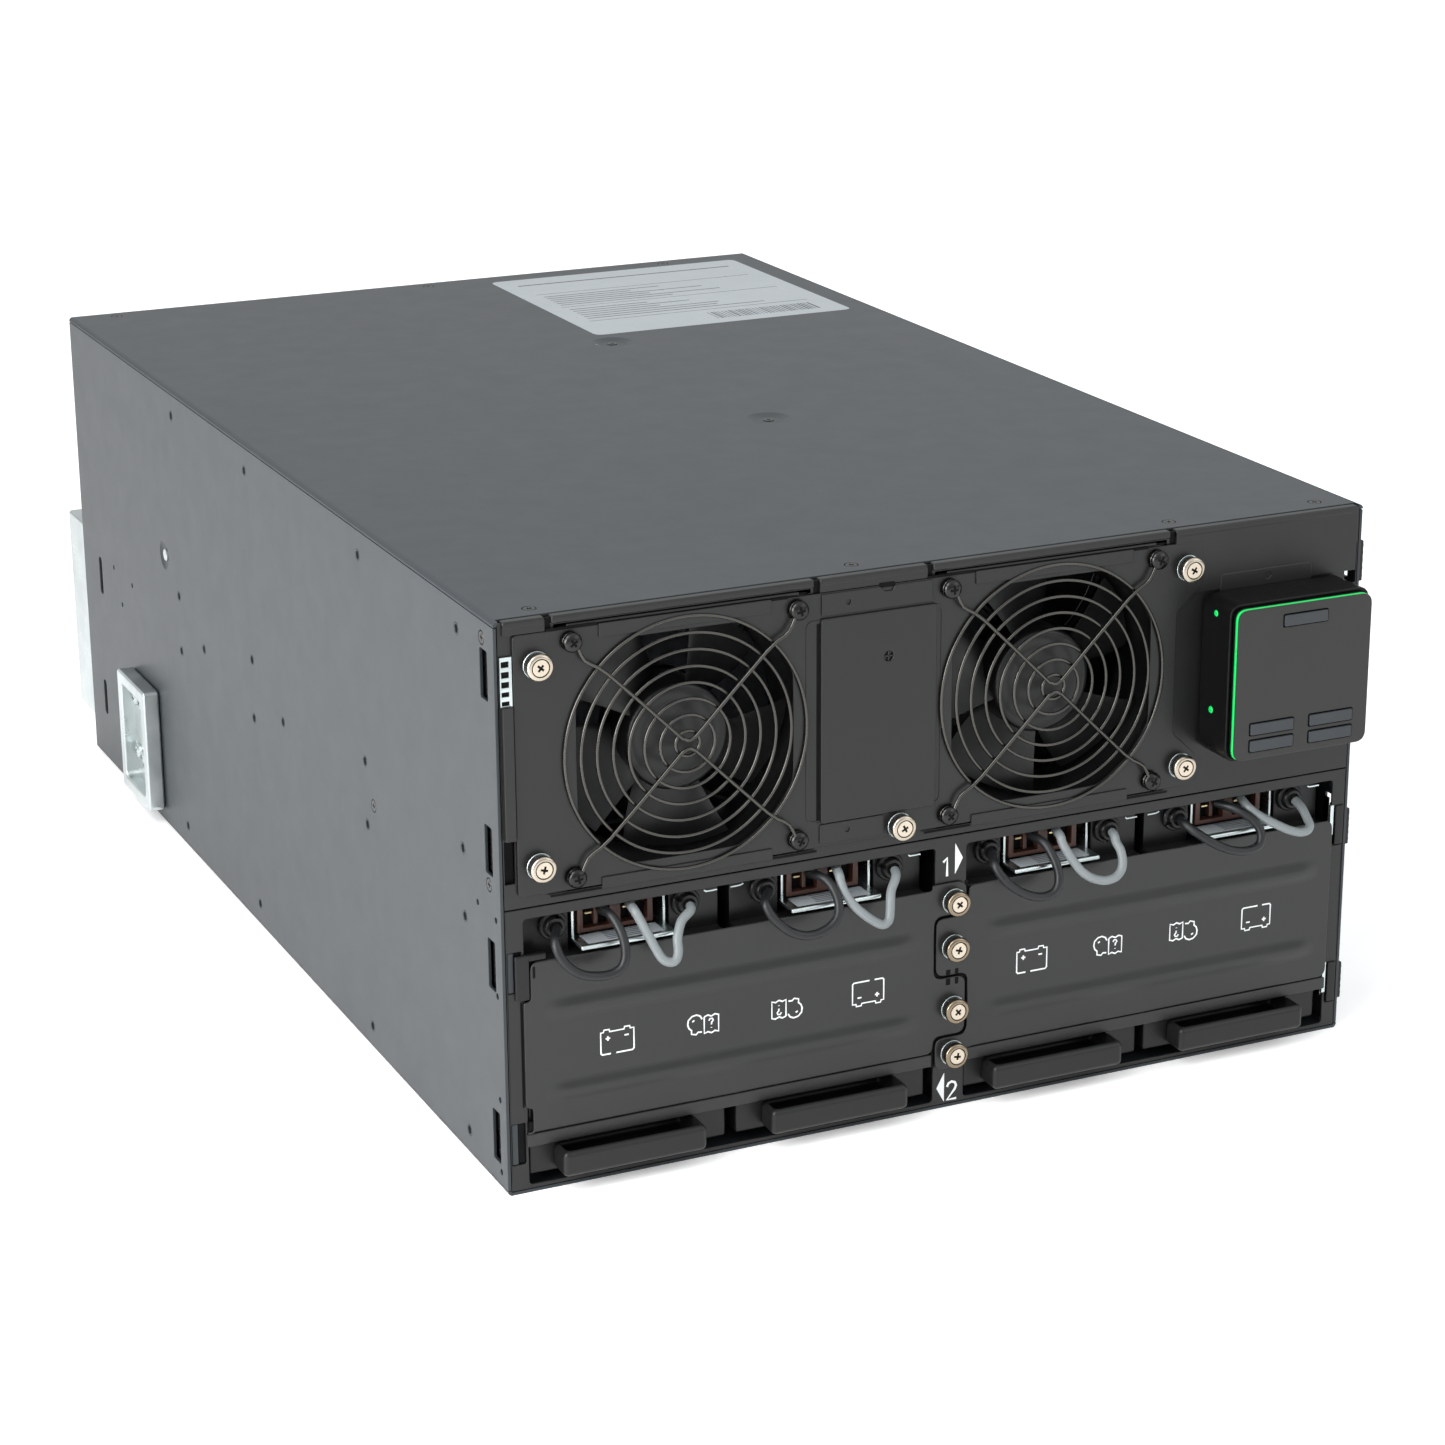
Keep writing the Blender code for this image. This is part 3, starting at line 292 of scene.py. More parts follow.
# ---- shapes, each a mesh in millimetres ---------------------------------------------------
def as_mesh(made):
    """The mesh that an object stands for, with its modifiers; the object is removed."""
    bpy.context.view_layer.update()
    evaluated = made.evaluated_get(bpy.context.evaluated_depsgraph_get())
    mesh = bpy.data.meshes.new_from_object(evaluated)
    bpy.data.objects.remove(made, do_unlink=True)
    return mesh


def cleaned(mesh):
    shape = bmesh.new()
    shape.from_mesh(mesh)
    bmesh.ops.remove_doubles(shape, verts=shape.verts, dist=0.002)
    bmesh.ops.recalc_face_normals(shape, faces=shape.faces)
    shape.to_mesh(mesh)
    shape.free()
    return mesh


def finished(shape, name):
    """The mesh of a bmesh, with its faces turned outwards."""
    bmesh.ops.recalc_face_normals(shape, faces=shape.faces)
    mesh = bpy.data.meshes.new(name)
    shape.to_mesh(mesh)
    shape.free()
    return mesh


def band(shape, low, high):
    """Faces between two closed rings of as many corners each."""
    for n in range(len(low)):
        after = (n + 1) % len(low)
        shape.faces.new((low[n], low[after], high[after], high[n]))


def add_line(curve, points, closed=False):
    spline = curve.splines.new("POLY")
    spline.points.add(len(points) - 1)
    for point, place in zip(spline.points, points):
        point.co = (*place, 1) if len(place) == 3 else (*place, 0, 1)
    spline.use_cyclic_u = closed
    return spline


def round_curve(name, radius, sides):
    """An empty curve that makes a round bar with closed ends."""
    data = bpy.data.curves.new(name, "CURVE")
    data.dimensions = "3D"
    data.bevel_depth = radius
    data.bevel_resolution = sides
    data.use_fill_caps = True
    return data


def wound(loop, clockwise):
    area = sum(a[0] * b[1] - b[0] * a[1] for a, b in zip(loop, [*loop[1:], loop[0]]))
    return loop if (area < 0) == clockwise else loop[::-1]


def slab(outline, holes=(), thick=1.5, edge=0.35, steps=2):
    """A flat sheet with rounded rims, from its back at 0 to its face at thick."""
    data = bpy.data.curves.new("slab", "CURVE")
    data.dimensions = "2D"
    data.fill_mode = "BOTH"
    data.extrude = thick / 2 - edge
    data.bevel_depth = edge
    data.bevel_resolution = steps - 1
    data.offset = -edge
    for loop in [wound(outline, False), *(wound(h, True) for h in holes)]:
        add_line(data, loop, True)
    return cleaned(moved(as_mesh(linked("slab", data)), 0, 0, thick / 2))


def block(x, depth, z, edge=0.5, steps=2):
    """A box with rounded edges between two places each way, for SPACE."""
    shape = bmesh.new()
    low, high = Vector((x[0], depth[0], z[0])), Vector((x[1], depth[1], z[1]))
    centre = Matrix.Translation((low + high) / 2)
    bmesh.ops.create_cube(shape, size=1, matrix=centre @ Matrix.Diagonal((*(high - low), 1)))
    if edge:
        bmesh.ops.bevel(
            shape, geom=shape.edges[:], offset=edge, segments=steps, profile=0.5, affect="EDGES"
        )
    return finished(shape, "block")


def turned(profile, count=40):
    """A turned shape on its own third axis, from (radius, height) pairs."""
    shape = bmesh.new()
    rings = [
        [shape.verts.new((x, y, height)) for x, y in circle(0, 0, radius, count)] for radius,
        height in profile
    ]
    for low, high in zip(rings, rings[1:]):
        band(shape, low, high)
    bmesh.ops.remove_doubles(shape, verts=shape.verts, dist=0.0005)
    return finished(shape, "turned")


def tube(points, radius, closed=False, flat=1, sides=3):
    """A round bar along points; flat below 1 squashes it onto its own plane."""
    data = round_curve("tube", radius, sides)
    add_line(data, points, closed)
    mesh = as_mesh(linked("tube", data))
    if flat != 1:
        mesh.transform(Matrix.Diagonal((1, 1, flat, 1)))
    return cleaned(mesh)


def carved(mesh, *tools):
    """A mesh with other meshes cut out of it."""
    made = linked("carved", mesh)
    guides = [linked("tool", tool) for tool in tools]
    for guide in guides:
        step = made.modifiers.new("cut", "BOOLEAN")
        step.operation = "DIFFERENCE"
        step.solver = "EXACT"
        step.object = guide
    out = as_mesh(made)
    for guide in guides:
        bpy.data.objects.remove(guide, do_unlink=True)
    return out


def cross(reach, width, high, deep):
    """The tapered cross that a Phillips driver leaves, from height high down by deep."""
    shape = bmesh.new()
    rings = []
    for share, height in ((1.15, high + 0.3), (1, high), (0.42, high - deep)):
        a, b = reach * share, width * share
        outline = [(a, b), (b, b), (b, a), (-b, a), (-b, b), (-a, b)]
        outline += [(-x, -y) for x, y in outline]
        rings.append([shape.verts.new((x, y, height)) for x, y in outline])
    for low, upper in zip(rings, rings[1:]):
        band(shape, low, upper)
    shape.faces.new(rings[0])
    shape.faces.new(rings[-1][::-1])
    return finished(shape, "cross")


def swell(x0, x1, z0, z1, height, rows=10, columns=48):
    """A soft pressed rib: a low rise that meets the sheet around it without an edge."""
    shape = bmesh.new()
    grid = []
    half = (z1 - z0) / 2
    for c in range(columns + 1):
        x = x0 + (x1 - x0) * c / columns
        fade = min(1, min(x - x0, x1 - x) / (half * 1.6) + 0.001)
        line = []
        for r in range(rows + 1):
            across = r / rows * 2 - 1
            rise = height * (0.5 + 0.5 * math.cos(math.pi * across)) * math.sin(fade * math.pi / 2) ** 2
            line.append(shape.verts.new((x, (z0 + z1) / 2 + half * across, rise - 0.02)))
        grid.append(line)
    for a, b in zip(grid, grid[1:]):
        for r in range(rows):
            shape.faces.new((a[r], b[r], b[r + 1], a[r + 1]))
    return finished(shape, "swell")


class Piece:
    """One visual piece, gathered from shapes that may each have their own finish."""

    def __init__(self, name):
        self.name = name
        self.shape = bmesh.new()
        self.finishes = []

    def add(self, mesh, finish, place=SPACE):
        if finish not in self.finishes:
            self.finishes.append(finish)
        copy = mesh.copy()
        copy.transform(place)
        if place.determinant() < 0:
            copy.flip_normals()
        start = len(self.shape.faces)
        self.shape.from_mesh(copy)
        self.shape.faces.ensure_lookup_table()
        index = self.finishes.index(finish)
        for face in self.shape.faces[start:]:
            face.material_index = index
            face.smooth = True
        bpy.data.meshes.remove(copy)

    def box(self, finish, x, depth, z, edge=0.5, steps=2):
        self.add(block(x, depth, z, edge, steps), finish)

    def sheet(self, finish, depth, outline, holes=(), thick=1.5, edge=0.35, steps=2):
        self.add(slab(outline, holes, thick, edge, steps), finish, front(depth))

    def mark(self, depth, x0, x1, z0, z1, radius):
        """A thin dark rectangle on the front: painted shade where a gap or a slot would show."""
        self.sheet(PAINTED_SHADE, depth, soft_rectangle(x0, x1, z0, z1, radius), thick=0.1, edge=0.03)

    def place(self, body, slot, *nodes, angle=32):
        mesh = bpy.data.meshes.new(self.name)
        self.shape.to_mesh(mesh)
        self.shape.free()
        mesh.set_sharp_from_angle(angle=math.radians(angle))
        for finish in self.finishes:
            mesh.materials.append(finish)
        made = linked(self.name, mesh)
        even = made.modifiers.new("even shading", "WEIGHTED_NORMAL")
        even.mode = "FACE_AREA"
        even.weight = 100
        even.keep_sharp = True
        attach(made, body)
        if nodes:
            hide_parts(*nodes)


# ---- fasteners, each as (shape, finish) pairs on its own axis -----------------------------
def driven(profile, finish, reach, width, face, deep, count=36):
    """A turned head with a cross recess in it, and painted shade at the bottom of that recess."""
    head = carved(turned(profile, count), cross(reach, width, face, deep))
    return [(head, finish), (cross(reach * 0.87, width * 0.87, face - 0.5, deep * 0.5), PAINTED_SHADE)]


def any_turn():
    """How far a screw was turned when it was driven home."""
    return random.uniform(0, 1.5)


def add_all(piece, parts, place, spin=0):
    turn = Matrix.Rotation(spin, 4, "Z")
    for mesh, finish in parts:
        piece.add(mesh, finish, place @ turn)


FLUSH = driven(
    [(0, -0.8), (2.1, -0.8), (2.85, -0.05), (2.7, 0.10), (0, 0.16)], SCREW, 1.6, 0.42, 0.16, 0.8, 28
)
# painted shade: a dark disc under the head that shows as a ring in the countersink's gap
FLUSH.append((turned([(0, -1), (3.6, -1), (3.6, -0.8), (0, -0.8)], 28), PAINTED_SHADE))
PAN = driven(
    [
        (0, 0), (4.3, 0), (4.45, 0.4), (4.2, 1.5), (3.2, 2.3), (1.6, 2.65), (0, 2.7)
    ], SCREW, 2.2, 0.58, 2.7, 1.3
)
INSERT = turned([(2, -1), (2, 0.08), (2.2, 0.26), (2.5, 0.28), (2.75, 0.18), (2.9, 0)], 28)


# ---- power leads --------------------------------------------------------------------------
MODULE_X = {1: -158, 2: -57.2, 3: 55.8, 4: 155.8}
LEAD_DIAMETER = 4.2
GLAND_X, GLAND_Z = 31.5, 121  # from the module's centre, each way, and above the ground
GLAND_END = (GLAND_X, 1.8, GLAND_Z)  # where each light lead meets its gland
DARK_START = (-GLAND_X, 1.8, GLAND_Z)
DARK_END = (-8.6, 8, 124)  # where each lead meets the plug
LIGHT_START = (5, 8, 124.3)
# each route in millimetres: across from the module's centre, depth, height
DARK_ROUTES = {
    1: (
        DARK_START, (-36.3, -7.5, 120.2), (-36.7, -11, 116.5), (-34.5, -12.5, 111.6),
        (-30.8, -13, 107.5), (-25.6, -13, 104.1), (-18.7, -13, 102.3), (-12.6, -13, 102.2),
        (-8.1, -13, 104.2), (-5.9, -12.5, 108), (-5.2, -11, 112.5), (-5.3, -9, 116.4),
        (-5.9, -6.5, 119.8), (-6.9, -3.5, 122.9), (-8, 0.5, 124.9), DARK_END,
    ),
    2: (
        DARK_START, (-37.4, -7.5, 120.7), (-37.3, -11, 117.4), (-34.9, -12.5, 113.5),
        (-30.3, -13, 108.9), (-25.8, -13, 105.8), (-20.4, -13, 103.8), (-14.4, -13, 103.6),
        (-9, -13, 105.4), (-4.9, -12.5, 108.5), (-2.9, -11, 112.2), (-2.4, -9, 116.2), (-3, -6.5, 119.9),
        (-4.3, -3, 123), (-6.1, 1, 124.5), DARK_END,
    ),
    3: (
        DARK_START, (-35.6, -7, 119.9), (-35.2, -10.5, 116.9), (-32.8, -12.5, 113), (-28.6, -13, 108.9),
        (-23.2, -13, 105.2), (-17.3, -13, 102.6), (-11.8, -13, 101.8), (-7.4, -13, 103),
        (-4.9, -12.5, 106), (-3.9, -11, 110.2), (-4.1, -9, 114.4), (-4.8, -6.5, 118),
        (-5.7, -3.5, 121.3), (-7, 0.5, 123.6), DARK_END,
    ),
    4: (
        DARK_START, (-32.3, -3, 120.8), (-30.6, -7, 118.9), (-27.7, -10, 116.7), (-24, -12, 114),
        (-19.1, -13, 111), (-13.8, -13.5, 108.6), (-8.2, -13.5, 107), (-2.4, -13, 106.4),
        (2.4, -12.5, 107.7), (4.6, -11.5, 110.7), (4.7, -10, 114.3), (3.4, -8, 117.3), (1.2, -5.5, 120),
        (-1.9, -2.5, 122.3), (-4.9, 1.5, 123.5), DARK_END,
    ),
}
LIGHT_ROUTES = {
    1: (
        LIGHT_START, (3.1, -2, 125.3), (4.5, -5, 121.4), (6, -7.5, 117.4), (7.6, -9.5, 113.2),
        (9.5, -11, 108.8), (11.6, -12.5, 104.9), (14.8, -13.5, 103), (17.7, -13.5, 103.8),
        (19.4, -12, 107.2), (19.7, -10.5, 111.5), (21.3, -8.5, 115.1), (24, -6, 118.4),
        (29.5, -2.7, 120.8), GLAND_END,
    ),
    2: (
        LIGHT_START, (1.5, -2, 125.4), (1.2, -4.5, 122.6), (1.6, -7, 119.1), (3.4, -9, 115.2),
        (5.8, -10.5, 111.8), (8.9, -12, 108.6), (13, -13, 105.2), (17.5, -13.5, 102.6),
        (20.9, -13, 103.8), (22.4, -11.5, 108.1), (23.3, -10, 112.2), (25, -7.5, 115.8),
        (29.3, -3.5, 119.9), GLAND_END,
    ),
    3: (
        LIGHT_START, (1.6, -2, 125.2), (1.4, -4.5, 122.7), (2.3, -7, 119.5), (4.5, -9, 115.2),
        (7.7, -11, 110.4), (11.7, -12.5, 107.1), (16.4, -13, 105), (20.4, -13.5, 104.4),
        (25.2, -13, 105.1), (28.6, -12, 107.8), (30, -10.5, 111.7), (30.2, -8, 115.8), (29.7, -5, 118.5),
        (30.2, -2.5, 120.8), GLAND_END,
    ),
    4: (
        LIGHT_START, (2.8, -1.5, 123.5), (4.6, -4, 121.5), (6.9, -6.5, 119.6), (10.7, -9, 117.3),
        (15, -11, 114.9), (19.6, -12.3, 112.6), (24.6, -13.2, 111), (28.9, -13, 111.1),
        (31.3, -11.5, 112.9), (31.7, -8.5, 115.2), (31.7, -3.7, 119.1), GLAND_END,
    ),
}


def smooth_route(points, steps=6):
    """Places on a smooth curve through the route's own points."""
    route = [Vector(p) for p in points]
    ends = [route[0] * 2 - route[1], *route, route[-1] * 2 - route[-2]]
    out = []
    for n in range(len(route) - 1):
        a, b, c, d = ends[n : n + 4]
        for k in range(steps):
            t = k / steps
            spot = b * 2 + (c - a) * t + (a * 2 - b * 5 + c * 4 - d) * t**2
            out.append((spot + (b * 3 - a - c * 3 + d) * t**3) / 2)
    out.append(route[-1])
    return out


def lead(kind, number, route, finish, gland_first):
    name = f"lead_{kind}_{number}"
    data = round_curve(name, LEAD_DIAMETER * MM / 2, 6)
    places = [p * MM + Vector((MODULE_X[number] * MM, FRONT, 0)) for p in smooth_route(route)]
    if not gland_first:
        places.reverse()
    add_line(data, places).use_smooth = True
    data.materials.append(finish)
    made = linked(f"{name}_sheath", data)
    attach(made, "cartridge_left" if number < 3 else "cartridge_right")
    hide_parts(name)


def add_leads():
    for number in MODULE_X:
        lead("dark", number, DARK_ROUTES[number], DARK_SHEATH, True)
        lead("light", number, LIGHT_ROUTES[number], LIGHT_SHEATH, False)


# ---- case ---------------------------------------------------------------------------------
SIDE_SLOTS = ((12.2, 36.2), (93.7, 116.7), (147, 169), (226, 248))
HOOKS = ((15.2, 33.8), (94.7, 112.8), (225.6, 245.2))
SIDE_INSERTS = (
    (44, 248.5), (171.5, 248.5), (343, 248.5), (471, 248.8), (44, 148.4), (44, 116.5),
    (172.5, 148.3), (172.4, 116.8), (345.5, 148.7), (346.8, 117), (475, 148), (476, 116.6),
    (46.7, 12.5), (176.7, 12.3), (352.7, 13), (483, 13.3), (432, 130), (297.6, 129.7),
)
SIDE_SCREWS = ((162.4, 129.3), (14, 252.8), (13, 142))
SIDE_PINS = (
    (27.6, 129), (6, 128), (6.7, 92.5), (7, 43.4), (7.6, 8.6), (609, 129.5), (571, 128.6), (595, 111),
)
SIDE_TOP = 260.4
BEND = 2.2  # the outer radius of the case's folded edges
STUD = (499.5, 165)  # a bright stud in a pressed dish


def side_wall(piece, place):
    holes = [soft_rectangle(8, 16.5, low, high, 1) for low, high in SIDE_SLOTS]
    holes += [soft_rectangle(636, 642, 106, 128, 2.5), soft_rectangle(643, 649, 30, 51, 2.5)]
    holes += [circle(a, z, 2.9, 20) for a, z in SIDE_INSERTS]
    holes += [circle(a, z, 3.2, 20) for a, z in SIDE_SCREWS]
    holes += [circle(a, z, 1.4, 14) for a, z in SIDE_PINS]
    holes.append(circle(*STUD, 8, 36))
    wall = slab(soft_rectangle(0, DEPTH, BEND, SIDE_TOP, 0.8), holes, SHEET, 0.3)
    piece.add(wall, CASE, place)
    for a, z in SIDE_INSERTS:
        piece.add(INSERT, CASE, place @ Matrix.Translation((a, z, 1.3)))
    for a, z in SIDE_SCREWS:
        add_all(piece, FLUSH, place @ Matrix.Translation((a, z, 1.3)))
    dish = turned([(8.2, 1.45), (7.4, 1.1), (5.4, 0.35), (0, 0.35)], 36)
    stud = turned([(0, 0.2), (3.4, 0.2), (3.4, 0.9), (2.9, 1.3), (0, 1.4)], 32)
    add_all(piece, [(dish, CASE), (stud, PLATED)], place @ Matrix.Translation((*STUD, 0)))
    for low, high in SIDE_SLOTS:
        strip = slab(soft_rectangle(11.8, 15.6, low + 0.8, high - 1.6, 0.4), [], 0.8, 0.2)
        piece.add(strip, WIRE, place @ Matrix.Translation((0, 0, -1.3)))


def bend_strip(radius, x, z, quarter):
    """A quarter-round folded edge of sheet along the whole depth."""
    shape = bmesh.new()
    rings = []
    for a in (0, DEPTH):
        ring = []
        for reach in (radius, radius - SHEET):
            for k in range(7):
                turn = math.radians(quarter + 90 * k / 6)
                ring.append(shape.verts.new((x + reach * math.cos(turn), a, z + reach * math.sin(turn))))
        rings.append(ring)
    near, far = rings
    for k in range(6):
        for offset in (0, 7):
            n = offset + k
            shape.faces.new((near[n], near[n + 1], far[n + 1], far[n]))
        shape.faces.new((near[k], near[k + 1], near[k + 8], near[k + 7]))
        shape.faces.new((far[k], far[k + 1], far[k + 8], far[k + 7]))
    for n in (0, 6):
        shape.faces.new((near[n], near[n + 7], far[n + 7], far[n]))
    return finished(shape, "bend")


def add_case():
    shell = Piece("case_shell")
    side_wall(shell, left(-HALF_WIDTH + SHEET))
    side_wall(shell, right(HALF_WIDTH - SHEET))
    edge = HALF_WIDTH - BEND
    vents = [soft_rectangle(-150 + 60 * n, -120 + 60 * n, 560, 566, 3) for n in range(6)]
    shell.add(slab(rectangle(-edge, edge, 0, DEPTH), vents, SHEET, 0.2), CASE, under(SHEET))
    shell.add(bend_strip(BEND, -edge, BEND, 180), CASE)
    shell.add(bend_strip(BEND, edge, BEND, 270), CASE)
    for low, high in HOOKS:
        shell.box(BLACK, (HALF_WIDTH - 0.6, HALF_WIDTH + 1.8), (0.3, 7.4), (low, high))
        for k in range(5):
            z = low + 2.5 + k * (high - low - 5) / 4
            shell.box(BLACK, (HALF_WIDTH + 1.2, HALF_WIDTH + 2.1), (0.6, 7), (z - 0.9, z + 0.9), 0.3, 1)
    shell.place("chassis", "case_paint", "base_pan")

    cover = Piece("top_sheet")
    screws = [(-194.5, 13), (-42.8, 13), (119, 13), (197.8, 13)]
    screws += [(2, 666), (156, 666), (-190, 666)]
    dimples = ((40.5, 475), (41.7, 274.4))
    holes = [circle(x, a, 3.2, 24) for x, a in screws] + [circle(x, a, 11, 48) for x, a in dimples]
    cover.add(
        slab(soft_rectangle(-edge, edge, 3.6, DEPTH, 0.6), holes, SHEET, 0.3), CASE, top(HEIGHT - SHEET)
    )
    cover.add(bend_strip(BEND, -edge, HEIGHT - BEND, 90), CASE)
    cover.add(bend_strip(BEND, edge, HEIGHT - BEND, 0), CASE)
    for x, a in screws:
        add_all(cover, FLUSH, top(HEIGHT - 0.2, x, a), any_turn())
    dimple = turned([(11.2, 0.02), (10.4, -0.12), (7.2, -1.25), (4.4, -1.35), (0, -1.35)], 48)
    for x, a in dimples:
        cover.add(dimple, CASE, top(HEIGHT - 0.02, x, a))
        add_all(cover, FLUSH[:2], top(HEIGHT - 1.15, x, a), any_turn())
    cover.add(slab(soft_rectangle(39, 200, 494, 659, 5), [], 0.14, 0.05), LABEL, top(HEIGHT - 0.10))
    cover.place("chassis", "case_paint", "top_cover")

    label = Piece("rating_label_lines")
    rows = [(50, 189, a, thick) for a, thick in ((640, 2), (612, 0.8), (572, 0.8), (530, 0.8))]
    for n in range(6):
        rows.append((52, 100 + 60 * random.random(), 604 - 5.2 * n, 1.4))
        rows.append((52, 96 + 70 * random.random(), 564 - 5.4 * n, 1.4))
    for n in range(30):
        x = 120 + 2.2 * n
        rows.append((x, x + random.uniform(0.5, 1.5), 505, 17))
    for x0, x1, a, thick in rows:
        label.add(slab(rectangle(x0, x1, a, a + thick), [], 0.06, 0.01, 1), INK, top(HEIGHT - 0.002))
    label.place("chassis", "case_paint")


# ---- upper front --------------------------------------------------------------------------
FAN_X = {"left": -129, "right": 51.5}
FAN_Z = 197.9
FAN_RADIUS = 56.5
FAN_CLIP = 51  # how far the round opening reaches before it is cut straight
FAN_HALF = 59.2  # of the square housing
DUCT_RADIUS = 57.4
BLADE_ROOT, BLADE_TIP = 23.6, 54.4
BLADES = 5
FIRST_BLADE = {"left": 52, "right": 23}  # the way of one blade, in degrees
THUMB_HOLE = 3  # radius of a plate's hole for a thumbscrew
TRAY_SCREWS = {
    "upper_left": (-197.7, 242.6),
    "lower_left": (-198.2, 152.5),
    "middle": (-25.4, 143.6),
    "upper_right": (121, 244.6),
    "lower_right": (120.3, 149.9),
}


def fan_opening(x):
    """A circle cut short above, below and at both sides."""
    out = []
    for a, b in circle(0, 0, FAN_RADIUS, 96):
        out.append((x + max(-FAN_CLIP, min(FAN_CLIP, a)), FAN_Z + max(-FAN_CLIP, min(FAN_CLIP, b))))
    return out


COMB_GAPS = ((243.2, 245.7), (238.6, 241.2), (234.3, 236.8), (230.3, 232.3), (226.4, 228.2))


def add_front_sheet():
    panel = Piece("upper_front_sheet")
    holes = [soft_rectangle(x - 59.5, x + 59.5, FAN_Z - 59.5, FAN_Z + 59.5, 3) for x in FAN_X.values()]
    holes.append(soft_rectangle(-213.6, -208.7, 145.7, 165.2, 0.4))
    holes.append(soft_rectangle(-213.6, -208.7, 226.5, 246.6, 0.4))
    holes.append(soft_rectangle(207.6, 213.6, 225.6, 245.2, 0.8))
    outline = rectangle(-214.2, 214.2, 134.1, 262)
    panel.sheet(PAINT, 1.5, outline, holes, 1.5, 0.25)
    rail_top = HEIGHT - 0.2
    for x0, x1 in ((-212.3, -193.2), (-190.2, -67.7), (-65, -12.4), (-9.5, 111.5), (114.6, 212.6)):
        panel.box(PAINT, (x0, x1), (-1.4, 3.2), (259.2, rail_top), 0.9, 3)
    for x0, x1 in ((-212.3, -193.2), (-65, -12.4), (114.6, 212.6)):
        low = 256.6 if x0 < 100 else 232
        panel.box(PAINT, (x0, x1), (-1.3, 0.4), (low, 261.5), 0.3)
    for x0, x1 in ((-190.2, -67.7), (-9.5, 111.5)):
        # painted shadow: a dark slit under the rail, where the tray's top edge casts shade
        panel.box(PAINTED_SHADE, (x0 + 1, x1 - 1), (0, 1), (256.6, 259), 0.3)
        panel.box(PAINT, (x0 + 7, x1 - 7), (-0.9, 0.6), (256.7, 258.3), 0.6, 3)
    for x in (-191.7, -66.3, -11, 113.1):
        # painted shade in the narrow gaps between the rail strips
        panel.box(PAINTED_SHADE, (x - 1.5, x + 1.5), (-0.1, 0.5), (256.3, 262.2), 0.1, 1)
    panel.box(PAINT, (-213.6, -208.7), (-3, 0.5), (165.9, 225.9), 0.5)
    comb = [soft_rectangle(-213.3, -209.9, z0, z1, 0.15) for z0, z1 in COMB_GAPS]
    panel.sheet(ZINC, -0.4, rectangle(-213.9, -208.5, 225.8, 247.6), comb, 1, 0.2)
    # painted shade behind the comb's gaps and behind the stile's slots
    panel.box(PAINTED_SHADE, (-213.6, -209.2), (-0.5, 0.4), (226, 247), 0.1, 1)
    panel.box(PAINTED_SHADE, (-213.5, -208.8), (2, 3), (145, 247), 0.1, 1)
    panel.place("chassis", "front_paint", "front_panel_upper")


def add_fan_tray():
    tray = Piece("fan_tray_plate")
    corners = [
        (-208.1, 139.4), (129, 139.4), (129, 153.7), (116.1, 166),
        (116.1, 224.5), (129, 235), (129, 256.4), (-208.1, 256.4),
    ]
    holes = [fan_opening(x) for x in FAN_X.values()]
    holes += [circle(x, z, THUMB_HOLE, 24) for x, z in TRAY_SCREWS.values()]
    tray.sheet(PAINT, -0.3, rounded(corners, 2.5), holes, 1.2, 0.35, 3)
    for x in FAN_X.values():
        for half, low, high in ((40.2, 250.9, 257), (40.6, 137.6, 142.9)):
            tray.sheet(PAINT, -1.3, soft_rectangle(x - half, x + half, low, high, 0.6), [], 1, 0.35, 3)
        for x0, x1, z in (
            (x - 64.5, x - 40.8, 138), (x + 40.9, x + 62.5, 138), (
                x + 40.4, x + 48.5, 256.6
            ), (x - 64, x - 40.6, 257),
        ):
            # painted shade where the tray's slots show
            tray.mark(-1.48, x0, x1, z - 0.6, z + 0.5, 0.3)
    # the blank cover between the fans, with its rim, tab and foot
    rim = soft_rectangle(-72, -4.9, 151.4, 244.6, 4)
    inner = soft_rectangle(-71.2, -5.7, 152.2, 243.8, 3.5)
    tray.sheet(PAINT, -1.3, rim, [inner], 0.5, 0.2, 2)
    blank = soft_rectangle(-65, -8.2, 150.6, 245, 1.2)
    tray.sheet(PAINT, -1.4, blank, [circle(-32, 224, 2.3, 24)], 1.5, 0.6, 3)
    tab = [
        (
            -64.6, 246.1
        ), (-10.2, 246.1), (-10.2, 256), (-29, 256), (-30, 253.6), (-34, 253.6), (-36, 256), (-64.6, 256),
    ]
    tray.sheet(PAINT, -1.4, rounded(tab, 1), [circle(-51.6, 251.2, 1.2, 16)], 0.9, 0.4, 3)
    foot = soft_rectangle(-65.4, -33.4, 140.8, 150.2, 1.6)
    tray.sheet(PAINT, -1.4, foot, [circle(-51.6, 146, 1.2, 16)], 0.8, 0.35, 3)
    # painted shade in the tab's notch and along the blank cover's left edge
    tray.mark(-1.48, -36.4, -28.6, 255.2, 257.4, 0.8)
    tray.mark(-1.46, -66.8, -65.3, 151, 243, 0.5)
    # painted shade inside the three holes
    for x, z in ((-51.6, 251.2), (-51.6, 146), (-32, 224)):
        tray.add(turned([(0, 0), (2.2, 0), (2.2, 0.2)], 20), PAINTED_SHADE, front(-1.45, x, z))
    for a, b in ((2.2, 0.35), (0.35, 2.2)):
        tray.box(PAINT, (-32 - a, -32 + a), (-2.5, -1.5), (224 - b, 224 + b), 0.1, 1)
    tray.place("fan_tray_unit", "front_paint", "fan_tray")


